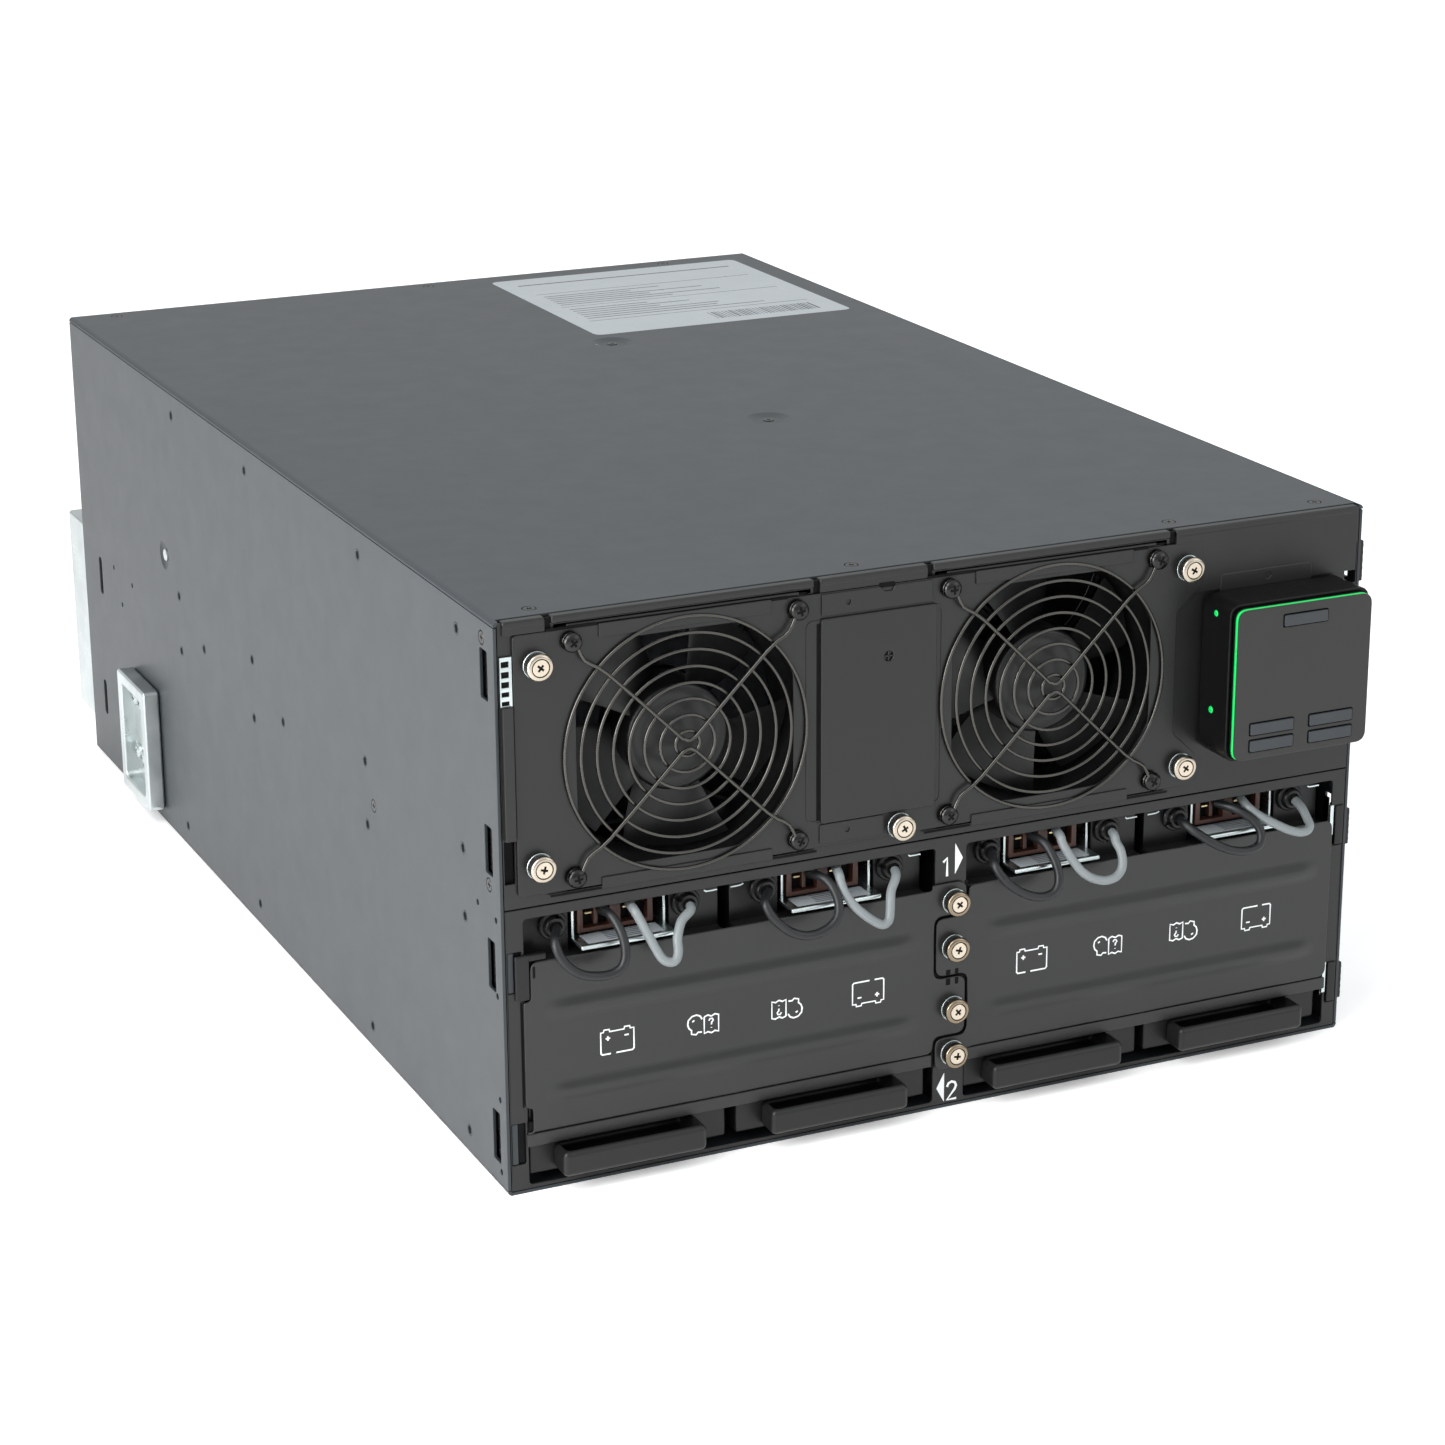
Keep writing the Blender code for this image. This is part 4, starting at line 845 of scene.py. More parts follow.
def add_fan(side):
    x = FAN_X[side]
    housing = Piece(f"fan_housing_{side}")
    middle = front(0, x, FAN_Z)
    square = soft_rectangle(x - FAN_HALF, x + FAN_HALF, FAN_Z - FAN_HALF, FAN_Z + FAN_HALF, 4)
    for depth in (4.2, 38):
        housing.sheet(BLACK, depth, square, [circle(x, FAN_Z, DUCT_RADIUS, 96)], 4, 0.8)
    duct = [(58.9, -36), (DUCT_RADIUS, -36), (56.6, -30), (56.4, -18)]
    duct += [(56.6, -8), (DUCT_RADIUS, -3), (58.4, -1.4), (58.9, -1.6), (58.9, -36)]
    housing.add(turned(duct, 96), FAN, middle)
    motor = [(0, -37.4), (24, -37.4), (25.2, -36.2), (25.2, -33.2), (0, -33.2)]
    housing.add(turned(motor, 48), BLACK, middle)
    for n in range(4):
        turn = math.radians(20 + 90 * n)
        points = []
        for k in range(9):
            reach = 23 + 34.5 * k / 8
            bend = turn + 0.35 * k / 8
            points.append((x + reach * math.cos(bend), FAN_Z + reach * math.sin(bend), -35.3))
        housing.add(tube(points, 1.9, sides=2), BLACK, front())
    housing.place("fan_tray_unit", "fan_plastic", f"fan_frame_{side}")

    rotor = Piece(f"fan_blades_{side}")
    hub = [(0, -7.2), (16, -7.2), (16.4, -7), (21.6, -7)]
    hub += [(23.4, -7.6), (24.4, -9.2), (24.5, -29.8), (0, -29.8)]
    rotor.add(turned(hub, 72), FAN, middle)
    for n in range(BLADES):
        rotor.add(fan_blade(math.radians(FIRST_BLADE[side] + 360 / BLADES * n)), FAN, middle)
    rotor.place(f"rotor_{side}", "fan_plastic", f"fan_rotor_{side}", angle=50)


def fan_blade(middle):
    """One wide curved blade, thinner towards its edges, about the fan's axis."""
    rows, columns, thick = 12, 18, 1.5
    shape = bmesh.new()
    skins = []
    for face in (0.5, -0.5):
        grid = []
        for r in range(rows + 1):
            radius = BLADE_ROOT + (BLADE_TIP - BLADE_ROOT) * r / rows
            half = math.radians(27 - 3 * r / rows)
            line = []
            for c in range(columns + 1):
                along = c / columns * 2 - 1
                angle = middle + along * half + 0.10 * r / rows
                lift = -18.5 + 8.6 * along * (1 - 0.16 * r / rows) - 1.6 * (1 - along * along)
                thin = (1 - along**6) ** 0.5 * 0.8 + 0.2
                spot = (radius * math.cos(angle), radius * math.sin(angle), lift + face * thick * thin)
                line.append(shape.verts.new(spot))
            grid.append(line)
        for a, b in zip(grid, grid[1:]):
            for c in range(columns):
                shape.faces.new((a[c], b[c], b[c + 1], a[c + 1]))
        skins.append(grid)
    rim, foot = (
        [row[0] for row in skin] + skin[-1][1:] + [
            row[-1] for row in skin[-2::-1]
        ] + skin[0][-2:0:-1] for skin in skins
    )
    band(shape, rim, foot)
    return finished(shape, "blade")


GUARD_RINGS = (5.7, 12.9, 20.2, 27.4, 34.7, 42.2, 49.6, 57.1)
GUARD_WIRE = 0.78
SCREW_REACH = 52.9


def guard_arm(x, side):
    """One of the two bent wires: from the eye at one screw, past the centre, to the next eye."""
    knee = 1.9 * side
    half = []
    for share, off in (
        (0.045, 0.3), (0.09, 1.6), (0.13, 2.4), (0.17, 2), (0.22, 0.9), (0.30, 0.2), (0.6, 0), (0.94, 0)
    ):
        reach = SCREW_REACH * (1 - share)
        half.append((reach + off * 0.7, side * (reach - off * 0.7)))
    half += [(2, knee + side * 0.8), (1, knee + side * 0.15)]
    points = half + [(0, knee)] + [(-a, b) for a, b in half[::-1]]
    return [(x + a, FAN_Z + b, 4.2) for a, b in points]


def add_guard(side):
    x = FAN_X[side]
    guard = Piece(f"fan_guard_wire_{side}")
    for radius in GUARD_RINGS:
        ring = [(a, b, 2.5) for a, b in circle(x, FAN_Z, radius, max(28, int(radius * 2.2)))]
        guard.add(tube(ring, GUARD_WIRE, closed=True), WIRE, front())
    for way in (1, -1):
        guard.add(tube(guard_arm(x, way), GUARD_WIRE * 1.08), WIRE, front())
    for a in (-1, 1):
        for b in (-1, 1):
            eye_x, eye_z = x + a * SCREW_REACH, FAN_Z + b * SCREW_REACH
            eye = [(u, v, 2.5) for u, v in circle(eye_x, eye_z, 3.6, 24)]
            guard.add(tube(eye, GUARD_WIRE, closed=True), WIRE, front())
            guard.add(
                turned([(1.4, 0), (5, 0), (5, 0.4), (1.4, 0.4)], 32), SCREW, front(-1.5, eye_x, eye_z)
            )
            add_all(guard, PAN, front(-3.2, eye_x, eye_z), any_turn())
    guard.place("fan_tray_unit", "guard_wire", f"fan_guard_{side}", angle=45)


# ---- thumbscrews --------------------------------------------------------------------------
def thumb_parts(finish):
    """Washer, knurled barrel, head and its lighter middle, from the plate outwards."""
    washer = turned([(2.2, 0), (5.9, 0), (6.05, 0.15), (6.05, 0.35), (5.9, 0.5), (2.2, 0.5)], 56)
    outer, inner = (circle(0, 0, reach, 80) for reach in (5.4, 5.05))
    knurl = [outer[n] if n % 2 else inner[n] for n in range(80)]
    barrel = moved(slab(knurl, [], 2.6, 0.05, 1), 0, 0, 0.5)
    rim = [(0, 3), (5.6, 3), (5.95, 3.3), (5.98, 4.5), (5.75, 5.05)]
    rim += [(5.2, 5.45), (4.6, 5.55), (4.15, 5.55), (3.95, 5.1), (0, 5.1)]
    middle = [(0, 4.6), (3.65, 4.6), (3.65, 5.45), (3.45, 5.58), (0, 5.58)]
    shank = turned([(0, -6), (1.6, -6), (1.95, -5.6), (1.95, 0.2), (0, 0.2)], 24)
    # painted shade: a dark ring in the groove between the rim and the lighter middle
    groove_shade = turned([(3.6, 5.08), (4, 5.08), (4, 5.14), (3.6, 5.14), (3.6, 5.08)], 56)
    parts = [(washer, ZINC), (barrel, BLACK), (turned(rim, 56), finish), (groove_shade, PAINTED_SHADE), (shank, NICKEL)]
    return parts + driven(middle, BRIGHT, 1.95, 0.52, 5.58, 0.9, 56)


def add_thumbscrews():
    looks = {"tray": thumb_parts(NICKEL), "door": thumb_parts(BRONZE)}
    places = {f"tray_{k}": (f"tray_thumbscrew_{k}", f"tray_screw_{k}", p) for k, p in TRAY_SCREWS.items()}
    for side, heights in DOOR_SCREWS.items():
        for k, z in heights.items():
            places[f"door_{side}_{k}"] = (
                f"door_thumbscrew_{side}_{k}", f"door_screw_{side}_{k}", (DOOR_SCREW_X, z)
            )
    for name, (cad, body, (x, z)) in places.items():
        screw = Piece(f"thumbscrew_{name}")
        add_all(screw, looks[name[:4]], front(-1.8, x, z), any_turn())
        screw.place(body, "nickel", cad)


# ---- display ------------------------------------------------------------------------------
DISPLAY_X, DISPLAY_Z, DISPLAY_HALF = 167.2, 193.9, 37.5
KEY_PLACES = {
    "power": (
        167.2, 222.4
    ), "up": (151.2, 172.6), "down": (151.2, 164.6), "enter": (183.1, 172.6), "back": (183.1, 164.6),
}


def display_outline(inset, radius):
    half = DISPLAY_HALF - inset
    return soft_rectangle(DISPLAY_X - half, DISPLAY_X + half, DISPLAY_Z - half, DISPLAY_Z + half, radius)


def add_display():
    housing = Piece("display_shell")
    housing.sheet(DARK, -1.8, display_outline(0, 6.5), [display_outline(1.7, 5)], 22.8, 0.6, 3)
    housing.sheet(DARK, -23, display_outline(1.5, 5), [], 1.2, 0.2)
    for z, depth, size in ((225, -13, 1.5), (178.5, -11.5, 1.7)):
        lamp = turned([(0, 0), (size, 0), (size * 0.8, 0.35), (0, 0.5)], 20)
        housing.add(lamp, LENS, left(DISPLAY_X - DISPLAY_HALF, depth, z))
    housing.place("chassis", "display_plastic", "display_housing")
    ring = Piece("display_glow_ring")
    for finish, depth, thick, edge in ((DARK, -24.9, 1.7, 0.3), (LENS, -26.6, 1.5, 0.4)):
        ring.sheet(finish, depth, display_outline(1.6, 5.4), [display_outline(4.4, 3.6)], thick, edge, 3)
    ring.place("chassis", "light_guide", "display_light_ring")
    fascia = Piece("display_face")
    pockets = [soft_rectangle(x - 12, x + 12, z - 3.1, z + 3.1, 0.9) for x, z in KEY_PLACES.values()]
    fascia.sheet(FACE, -28.5, display_outline(1.7, 5.3), pockets, 1, 0.35, 3)
    # painted shade: a dark sheet behind the key pockets, and flat dark tubes along their left and top edges
    fascia.sheet(PAINTED_SHADE, -27, display_outline(4.6, 3.4), [], 0.2, 0.05)
    for x, z in KEY_PLACES.values():
        shade = [(x - 12.6, z - 3.2), (x - 12.6, z + 3.5), (x + 12.2, z + 3.5)]
        fascia.add(tube(shade, 0.5, flat=0.2), PAINTED_SHADE, front(-28.52))
    fascia.place("chassis", "display_plastic", "display_fascia")
    for name, (x, z) in KEY_PLACES.items():
        key = Piece(f"key_{name}_cap")
        key.sheet(KEY, -28.7, soft_rectangle(x - 11.5, x + 11.6, z - 2.7, z + 2.6, 0.8), [], 1.5, 0.4, 3)
        pip = tube([(x - 1, z, 1.5), (x, z + 0.7, 1.5), (x + 1, z, 1.5)], 0.22, sides=2)
        key.add(pip, INK, front(-28.5))
        key.place(f"key_{name}", "button_rubber", f"button_{name}")
    bracket = Piece("display_bracket_sheet")
    tab = soft_rectangle(139, 188.2, 162, 239.2, 2)
    bracket.sheet(PAINT, -0.3, tab, [circle(164.4, 235.6, 1.6, 24)], 1.2, 0.35, 3)
    # painted shade inside the bracket's hole
    bracket.add(turned([(0, 0), (1.6, 0), (1.6, 0.3)], 20), PAINTED_SHADE, front(-0.4, 164.4, 235.6))
    bracket.place("chassis", "front_paint", "display_bracket")


# ---- battery bay --------------------------------------------------------------------------
BAYS = ((-205.8, -6), (10, 207.2))
DOOR_SCREW_X = 3
DOOR_SCREWS = {"left": {"upper": 102.5, "lower": 49.9}, "right": {"upper": 80.2, "lower": 27.8}}
DOOR_STEPS = (95.3, 65.8, 36.2)  # heights where the two doors' ears change sides
DOOR_ROUNDING = 4.5
STILE_SLOTS = ((14.1, 33.7), (95.3, 114.1))
DIGITS = {
    "1": [[(-1.6, 2.6), (0.4, 4.4), (0.4, -4.4)]],
    "2": [
        [(-2.4, 2.2), (-1.6, 3.9), (0, 4.5), (1.7, 3.8), (2.3, 2.2), (1.6, 0.4), (-2.4, -4.3), (2.5, -4.3)]
    ],
}


def arrow(x, z, way, tall, wide):
    corners = [
        (x - way * wide / 2, z - tall / 2), (x + way * wide / 2, z), (x - way * wide / 2, z + tall / 2)
    ]
    return slab(rounded(corners, 0.3, 2), [], 0.12, 0.04, 1)


def add_bay():
    bay = Piece("bay_frame_sheet")
    holes = [soft_rectangle(x0, x1, 3.7, 128.6, 2) for x0, x1 in BAYS]
    for low, high in STILE_SLOTS:
        holes.append(soft_rectangle(-213.6, -207, low, high, 0.8))
        holes.append(soft_rectangle(208.4, 213.6, low, high, 0.8))
    holes += [
        circle(
            DOOR_SCREW_X, z, THUMB_HOLE, 20
        ) for heights in DOOR_SCREWS.values() for z in heights.values()
    ]
    bay.sheet(PAINT, 1.5, rectangle(-214.2, 214.2, 1.8, 133.5), holes, 1.5, 0.4, 3)
    for low, high in STILE_SLOTS:
        bay.box(CASE, (-213.4, -210.6), (0.4, 5), (low + 0.2, high - 0.2), 0.3)
        # painted shade inside the stile's slot
        bay.box(PAINTED_SHADE, (-210.4, -207.2), (0.9, 5.2), (low + 0.3, high - 0.3), 0.3)
        bay.box(BLACK, (209, 213.6), (-0.9, 5), (low + 0.6, high + 1.6), 0.6)
        bay.box(ZINC, (206.4, 208.4), (-0.2, 1.4), (low + 5.6, high + 1.8), 0.3)
    # painted shade: a dark strip in the gap at the left door's edge
    bay.box(PAINTED_SHADE, (-208.2, -207.3), (-0.04, 0.4), (41, 90.8), 0)
    # painted shade: a flat dark tube along the seam between the doors
    bay.add(tube(door_seam(), 0.95, flat=0.14), PAINTED_SHADE, front(0))
    for mark, x, z, arrow_x, arrow_z, way, size in (
        ("1", -0.4, 118.8, 6, 122.2, 1, 15), ("2", 4, 7.8, -2, 10.2, -1, 14.6)
    ):
        for path in DIGITS[mark]:
            bay.add(tube([(x + a, z + b) for a, b in path], 0.62, flat=0.12), PRINT, front(0))
        bay.add(arrow(arrow_x, arrow_z, way, size, 4), PRINT, front(0.03))
    bay.place("chassis", "front_paint", "battery_bay_frame")


def door_seam():
    """The line along the middle where the two doors meet."""
    outer, inner = 10, -6.3
    high, middle, low = DOOR_STEPS
    corners = [
        (inner, 21), (inner, low), (outer, low), (
            outer, middle
        ), (inner, middle), (inner, high), (outer, high), (outer, 111),
    ]
    points = [Vector(c) for c in corners]
    out = [corners[0]]
    for before, corner, after in zip(points, points[1:], points[2:]):
        first = corner + (before - corner).normalized() * DOOR_ROUNDING
        last = corner + (after - corner).normalized() * DOOR_ROUNDING
        out += eased(first, corner, last, 5)
    return [*out, corners[-1]]


ICON_BATTERY = (
    [
        (-3.2, -6), (-7.2, -6), (-7.9, -5.3), (-7.9, 4.5), (-6.6, 4.5), (-6.3, 5.6), (-3.9, 5.6), (-3.6, 4.5),
        (3.2, 4.5), (3.5, 5.6), (5.9, 5.6), (6.2, 4.5), (7.9, 4.5), (7.9, -5.3), (7.2, -6), (-0.6, -6),
    ],
    [(-5.6, 1.4), (-3.4, 1.4)],
    [(-4.5, 2.5), (-4.5, 0.3)],
    [(3.4, 1.6), (5.4, 1.6)],
)
ICON_BOOK = (
    [
        (-0.4, 2.6), (-1.4, 4.2), (-3.2, 5), (-5.4, 4.6), (-7.1, 3), (-7.4, 0.9),
        (-6.8, -0.9), (-5.6, -2), (-5.6, -3.8), (-3.4, -4.4), (-2.4, -3.4), (-0.6, -3.6),
    ],
    [(-5.2, 2), (-4.2, 2.6)],
    [
        (0.6, 3.4), (2.4, 4), (4.1, 3.2), (5.8, 4), (7.6, 3.4), (7.6, -4.6), (5.8, -4), (4.1, -4.8),
        (2.4, -4), (0.6, -4.6), (0.6, 3.4)
    ],
    [(2.9, 1.2), (3.5, 2.1), (4.6, 2), (5, 1.1), (4.2, 0.2), (4.1, -0.8)],
    [(4.1, -2.1), (4.1, -2.4)],
)


ICONS = ((ICON_BATTERY, 1), (ICON_BOOK, 1), (ICON_BOOK, -1), (ICON_BATTERY, -1))  # each with its way round
ICON_PLACES = {
    "left": ((-163.6, 65.6), (-122.4, 65.2), (-81, 65), (-40.4, 65.2)),
    "right": ((44.2, 66.8), (84.6, 66.4), (126, 66.4), (166, 66.2)),
}
# each a dark rectangle of painted shade where a gap in a door shows
DOOR_GAPS = {
    "left": ((-0.6, 1.7, 61.6, 64.9), (4, 5.8, 61.6, 64.9), (-202.6, -201.4, 101.5, 107)),
    "right": ((-0.6, 1.7, 66.6, 69.2), (4, 5.8, 66.6, 69.2)),
}


def door_shape(side):
    high, middle, low = DOOR_STEPS
    right_ear, left_ear, seam = 9.4, -5.7, 1.2
    if side == "left":
        inner = left_ear - seam
        return [
            (-207.1, 28.9), (inner, 28.9), (inner, low + 0.6), (right_ear, low + 0.6), (
                right_ear, middle - 0.6
            ),
            (inner, middle - 0.6), (inner, high + 0.6), (
                right_ear, high + 0.6
            ), (right_ear, 111.4), (-8, 111.4),
            (-8, 108.9), (
                -203.6, 108.9
            ), (-203.6, 90.8), (-207.1, 90.8), (-207.1, 41), (-203.8, 40.4), (-203.8, 28.9),
        ]
    outer = right_ear + seam
    return [
        (207.1, 28.9), (207.1, 108.9), (outer, 108.9), (outer, high - 0.6), (left_ear, high - 0.6), (
            left_ear, middle + 0.6
        ),
        (
            outer, middle + 0.6
        ), (outer, low - 0.6), (left_ear, low - 0.6), (left_ear, 20), (9.5, 20), (9.5, 28.9),
    ]


def add_door(side):
    door = Piece(f"door_{side}_skin")
    holes = [circle(DOOR_SCREW_X, z, THUMB_HOLE, 20) for z in DOOR_SCREWS[side].values()]
    door.sheet(DOOR, -0.3, rounded(door_shape(side), DOOR_ROUNDING), holes, 1.2, 0.45, 3)
    strip = (-207, -7.5) if side == "left" else (10.8, 207)
    door.sheet(DOOR, -0.3, soft_rectangle(*strip, 22.4, 28.3, 0.8), [], 1.2, 0.4, 3)
    # painted shade behind the groove above the door's bottom strip
    door.box(PAINTED_SHADE, (strip[0] + 1, strip[1] - 1), (-0.9, -0.3), (24, 34), 0.1, 1)
    rib = (-198, -14) if side == "left" else (18, 200)
    for z in (45.8, 85.2):
        door.add(swell(*rib, z - 6, z + 6, 1.35), DOOR, front(-1.5))
    if side == "left":
        door.box(BLACK, (-210.6, -204), (-1.5, 0.2), (91.6, 112.6), 0.7, 3)
        door.box(BLACK, (-206.4, -196), (-1.3, 1.6), (109.4, 112.4), 0.6, 3)
    # painted shade in the door's gaps
    for x0, x1, z0, z1 in DOOR_GAPS[side]:
        door.mark(-1.45, x0, x1, z0, z1, 0.4)
    for (x, z), (paths, way) in zip(ICON_PLACES[side], ICONS):
        for path in paths:
            points = [(x + way * a, z + way * b) for a, b in path]
            door.add(tube(points, 0.39, flat=0.12), PRINT, front(-1.5))
    door.place(f"door_unit_{side}", "front_paint", f"door_{side}")


GLAND = [(3, 0), (6.6, 0), (6.6, 1.8), (6.2, 2.3), (5.2, 2.5)]
GLAND += [(4.9, 4.2), (4.3, 4.9), (3.1, 5), (2.6, 4.3), (2.6, 0.2)]
CELL_COUNT = 6
CELL_PITCH = 93.3
MODULE_SPANS = {1: (-205, -110.2), 2: (-105, -9.4), 3: (10.8, 103.6), 4: (108, 203.6)}


def add_module(number):
    x = MODULE_X[number]
    x0, x1 = MODULE_SPANS[number]
    body = "cartridge_left" if number < 3 else "cartridge_right"
    face = Piece(f"module_face_{number}")
    lower = block((x0, x1), (2, 39.8), (7.3, 107.7), 1.2, 3)
    room = block((x - 33.5, x + 31.1), (-9.2, 15), (11.6, 26), 2, 3)
    handle = block((x - 35.6, x + 33.2), (-11.4, 2.6), (8.7, 20.7), 2.6, 4)
    face.add(carved(lower, room.copy()), MODULE)
    face.add(carved(handle, room), MODULE)
    for sign in (-1, 1):
        ear = (x0, x - 23.7) if sign < 0 else (x + 23.7, x1)
        face.box(BLACK, ear, (8.1, 39.8), (106.5, 126.2), 0.8, 2)
        nut = carved(turned(GLAND, 48), block((-1, 1), (-8, -4.2), (1.5, 6), 0))
        turn = Matrix.Rotation(random.uniform(0, 6.2), 4, "Z")
        face.add(nut, BLACK, front(8.1, x + sign * GLAND_X, GLAND_Z) @ turn)
        # painted shade inside the gland's mouth
        mouth_shade = turned([(0, 0), (2.8, 0), (2.8, 0.6), (0, 0.6)], 24)
        face.add(mouth_shade, PAINTED_SHADE, front(5, x + sign * GLAND_X, GLAND_Z))
    face.box(PAINT, (x1 - 3.4, x1 - 1.3), (1.5, 3), (24, 100), 0.4)
    face.place(body, "module_plastic", f"module_front_{number}")

    cells = Piece(f"cell_blocks_{number}")
    for n in range(CELL_COUNT):
        start = 40.4 + n * CELL_PITCH
        cells.box(CELLS, (x0 + 0.7, x1 - 0.7), (start, start + 92.7), (8.1, 101), 1.8, 3)
        cells.box(CELLS, (x0 + 1.9, x1 - 1.9), (start + 1.4, start + 91.3), (100, 103.6), 1.2, 2)
        for k in (-1, 1):
            cells.box(
                BROWN, (x + k * 36 - 4, x + k * 36 + 4), (start + 10, start + 22), (102, 105.4), 0.8, 2
            )
            cells.box(
                ZINC, (x + k * 36 - 2, x + k * 36 + 2), (start + 12, start + 20), (104, 105.9), 0.4, 1
            )
    cells.box(LABEL, (x0 + 0.6, x0 + 1.3), (60, 580), (40, 60), 0.2, 1)
    cells.place(body, "cell_case", f"cell_pack_{number}")

    plug = Piece(f"plug_{number}_housing")
    px = x - 1.2
    holes = [
        soft_rectangle(px - 15.2, px - 2.6, 116, 125.6, 0.6),
        soft_rectangle(px + 2.6, px + 15.2, 116, 125.6, 0.6)
    ]
    plug.sheet(BROWN, 16, soft_rectangle(px - 17.9, px + 17.9, 114, 126.4, 0.8), holes, 7, 0.4)
    plug.box(BROWN, (px - 17.6, px + 17.6), (14.5, 36), (114.2, 126.2), 0.5)
    # painted shade inside the plug's front
    plug.box(PAINTED_SHADE, (px - 16, px + 16), (13.6, 14.8), (115, 126), 0.1, 1)
    for sign in (-1, 1):
        centre = px + sign * 8.9
        plug.box(BRASS, (centre - 5, centre - 1.8), (10, 15), (122, 123), 0.2, 1)
        plug.box(BROWN, (centre - 0.9, centre + 0.9), (9.6, 15), (117, 125.4), 0.3, 1)
    plug.place(body, "plug_plastic", f"plug_{number}")


def add_connector_bracket(side, numbers):
    bracket = Piece(f"connector_trays_{side}")
    for number in numbers:
        x = MODULE_X[number]
        x0, x1 = x - 22.3, x + 22.3
        bracket.box(ZINC, (x0, x1), (-2.8, 39.8), (111.3, 112.9), 0.3)
        bracket.box(ZINC, (x0, x1), (-3.4, -1.6), (110.9, 112.9), 0.8, 3)
        for a, b in ((x0, x0 + 1.3), (x1 - 1.3, x1)):
            bracket.box(ZINC, (a, b), (8.2, 39.8), (111.5, 128.2), 0.35, 2)
        bracket.box(ZINC, (x0 - 0.8, x1 + 0.8), (9.5, 39.8), (127.4, 128.7), 0.3)
        note = rectangle(x0 + 4, x1 - 4.5, -1, 9.5)
        bracket.add(slab(note, [], 0.12, 0.03, 1), LABEL, top(112.85))
        for n in range(5):
            a = 0.3 + n * 1.9
            lines = rectangle(x0 + 14, x0 + 30 + 5 * random.random(), a, a + 0.8)
            bracket.add(slab(lines, [], 0.05, 0.01, 1), INK, top(112.95))
    for number in numbers:
        x = MODULE_X[number]
        edges = [[(37.9, 127.5), (38.7, 126.7), (41.8, 126.7), (43.5, 126.8), (44.1, 126.7)]]
        if number in (2, 4):
            edges.append([(-50.1, 126.7), (-49.3, 126.8), (-47.1, 126.8), (-45.4, 126.9), (-43.9, 127.5)])
        for edge in edges:
            bracket.add(tube([(x + a, z) for a, z in edge], 0.42), ZINC, front(1.5))
    bracket.place("chassis", "zinc", f"connector_bracket_{side}")


# ---- back ---------------------------------------------------------------------------------
KNOCKOUTS = (-180, -140, -103)
ZINC_PAN = [(mesh, ZINC if finish is SCREW else finish) for mesh, finish in PAN]


def add_back():
    panel = Piece("rear_sheet")
    vents = [soft_rectangle(-190 + 37 * n, -165 + 37 * n, 150, 248, 3) for n in range(10)]
    panel.add(slab(rectangle(-214, 214, 1.8, 261.3), vents, 1.5, 0.3), CASE, back(673.5))
    for n in range(10):
        for k in range(8):
            z = 161 + 10.8 * k
            panel.box(CASE, (-190.5 + 37 * n, -164.5 + 37 * n), (673.7, 674.8), (z, z + 1.8), 0.4, 1)
    panel.add(slab(soft_rectangle(-50, 205, 24, 118, 2), [], 2.2, 0.5), BLACK, back(674.9))
    for n in range(5):
        for k in range(2):
            x, z = -24 + 50 * n, 50 + 43 * k
            outlet = [
                (x - 14, z - 9), (x + 14, z - 9), (x + 14, z + 5), (x + 9, z + 10), (x - 9, z + 10),
                (x - 14, z + 5)
            ]
            ring = soft_rectangle(x - 17, x + 17, z - 12, z + 12, 2)
            panel.add(slab(ring, [rounded(outlet, 1.5)], 0.1, 0.03, 1), DARK, back(677.08))
            # painted shade inside each outlet
            panel.add(slab(rounded(outlet, 1.5), [], 0.06, 0.02, 1), PAINTED_SHADE, back(677.06))
            for a in (-6, 0, 6):
                low = z - 0.5 if a == 0 else z - 3.5  # the earth pin sits higher
                pin = soft_rectangle(x + a - 0.9, x + a + 0.9, low, low + 6, 0.4)
                panel.add(slab(pin, [], 0.06, 0.02, 1), ZINC, back(677.1))
    for x in (-205, 0, 205):
        for z in (136, 256):
            add_all(panel, FLUSH[:2], back(674.9, x, z), any_turn())
    panel.place("chassis", "case_paint", "rear_panel")

    cover = Piece("terminal_box")
    walls = soft_rectangle(-215, -70, 19, 139, 2)
    cover.add(slab(walls, [circle(x, 45, 12, 40) for x in KNOCKOUTS], 1.5, 0.5), PLATED, back(708.5))
    inside = soft_rectangle(-213.5, -71.5, 20.5, 137.5, 1.2)
    cover.add(slab(walls, [inside], 33.6, 0.3), PLATED, back(675.3))
    for x in KNOCKOUTS:
        cover.add(slab(circle(x, 45, 11.5, 40), [], 1, 0.3), PLATED, back(708.4))
    for x in (-208, -77):
        for z in (27, 131):
            add_all(cover, ZINC_PAN, back(709.6, x, z) @ Matrix.Diagonal((0.7, 0.7, 0.15, 1)))
    cover.place("chassis", "zinc", "terminal_cover")

    for side, sign in (("left", -1), ("right", 1)):
        place = left(-HALF_WIDTH - 0.3) if sign < 0 else right(HALF_WIDTH + 0.3)
        bracket = Piece(f"rear_support_{side}")
        rim = soft_rectangle(526.2, 579.8, 8.2, 78.8, 3)
        dish = soft_rectangle(532.5, 573.5, 15.5, 71.5, 4)
        bracket.add(slab(rim, [dish], 9.6, 1.4, 4), PLATED, place)
        bracket.add(slab(soft_rectangle(531, 575, 14, 73, 4), [], 2.2, 0.3), PLATED, place)
        for a in (541.5, 554.5, 566):
            for z in (64, 32):
                add_all(bracket, ZINC_PAN, place @ Matrix.Translation((a, z, 2.1)), any_turn())
        bracket.place("chassis", "zinc", f"rear_bracket_{side}")


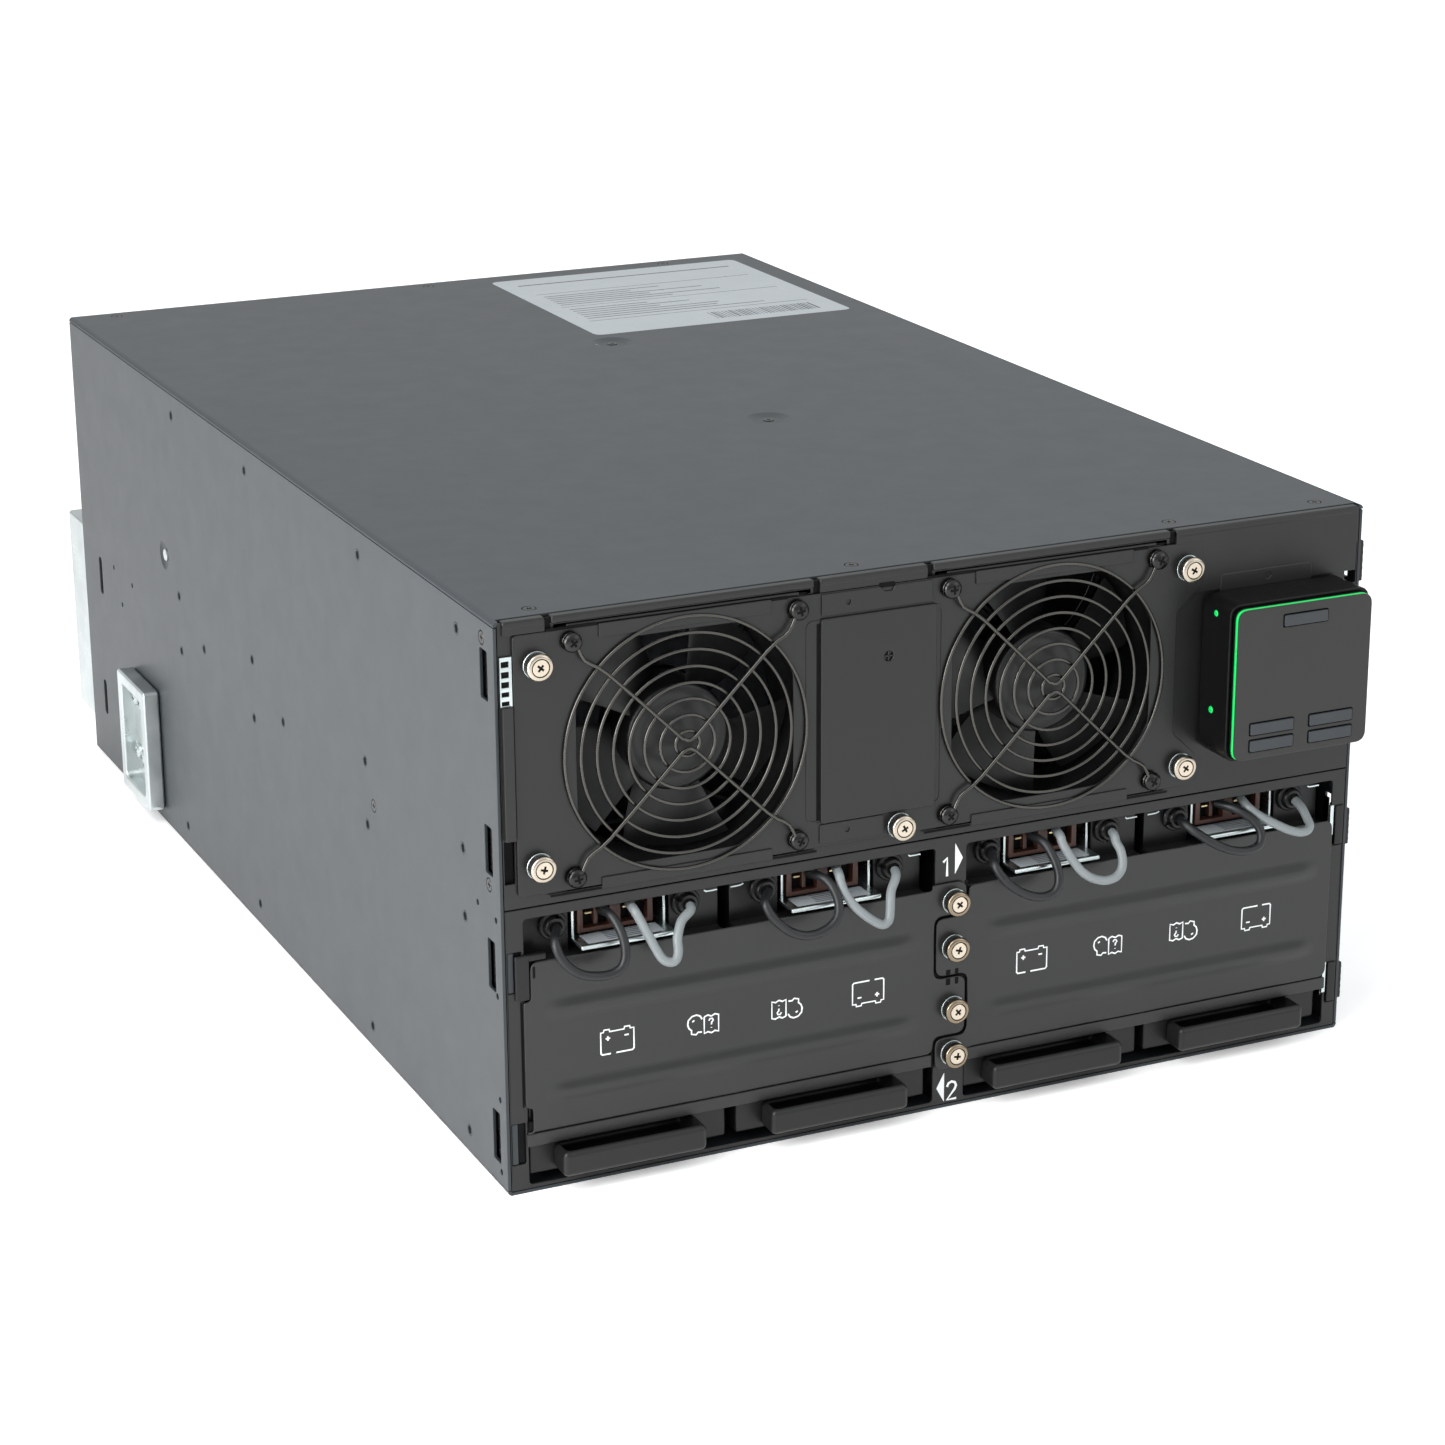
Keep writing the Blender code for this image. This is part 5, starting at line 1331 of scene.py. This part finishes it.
def paint_inside():
    """The CAD's own inner parts keep their shape and get a finish."""
    for name, finish in (("bay_shelf", PLATED), ("main_board", BOARD), ("heat_sink", FINS)):
        mesh = NODES[name].data
        mesh.materials.clear()
        mesh.materials.append(finish)


# ---- studio -------------------------------------------------------------------------------
def add_light(name, place, aim, size, power):
    data = bpy.data.lights.new(name, "AREA")
    data.shape = "RECTANGLE"
    data.size, data.size_y = size
    data.energy = power
    lamp = linked(name, data)
    lamp.location = place
    lamp.rotation_euler = (Vector(aim) - Vector(place)).to_track_quat("-Z", "Y").to_euler()


def add_studio():
    data = bpy.data.meshes.new("floor")
    reach = 40.0
    data.from_pydata([(x, z, 0.0) for x, z in rectangle(-reach, reach, -reach, reach)], [], [(0, 1, 2, 3)])
    data.materials.append(FLOOR)
    linked("floor", data)
    world = bpy.data.worlds.new("studio")
    world.use_nodes = True
    tree = world.node_tree
    direction = node(tree, "ShaderNodeTexCoord", {})
    axes = node(tree, "ShaderNodeSeparateXYZ", {})
    tree.links.new(direction.outputs["Generated"], axes.inputs["Vector"])
    tree.links.new(
        ramp(tree, axes.outputs["Z"], 0.62, 1.25, 0.15, 0.85),
        tree.nodes["Background"].inputs["Strength"]
    )
    tree.nodes["Background"].inputs["Color"].default_value = (0.97, 0.99, 1.0, 1.0)
    bpy.context.scene.world = world
    bpy.context.scene.view_settings.view_transform = "Standard"
    add_light("key", (-1.5, -0.9, 2.0), (0.0, 0.0, 0.1), (1.2, 1.2), 24.0)
    add_light("side", (-1.0, -0.62, 0.42), (-0.216, -0.22, 0.12), (0.5, 0.5), 9.0)
    add_light("fill", (1.6, -1.8, 1.2), (0.0, -0.2, 0.1), (1.6, 1.2), 8.0)


# ---- build --------------------------------------------------------------------------------
add_camera()
add_leads()
add_case()
add_front_sheet()
add_fan_tray()
for side in FAN_X:
    add_fan(side)
    add_guard(side)
add_thumbscrews()
add_display()
add_bay()
for side in ("left", "right"):
    add_door(side)
for number in MODULE_X:
    add_module(number)
add_connector_bracket("left", (1, 2))
add_connector_bracket("right", (3, 4))
add_back()
paint_inside()
add_studio()
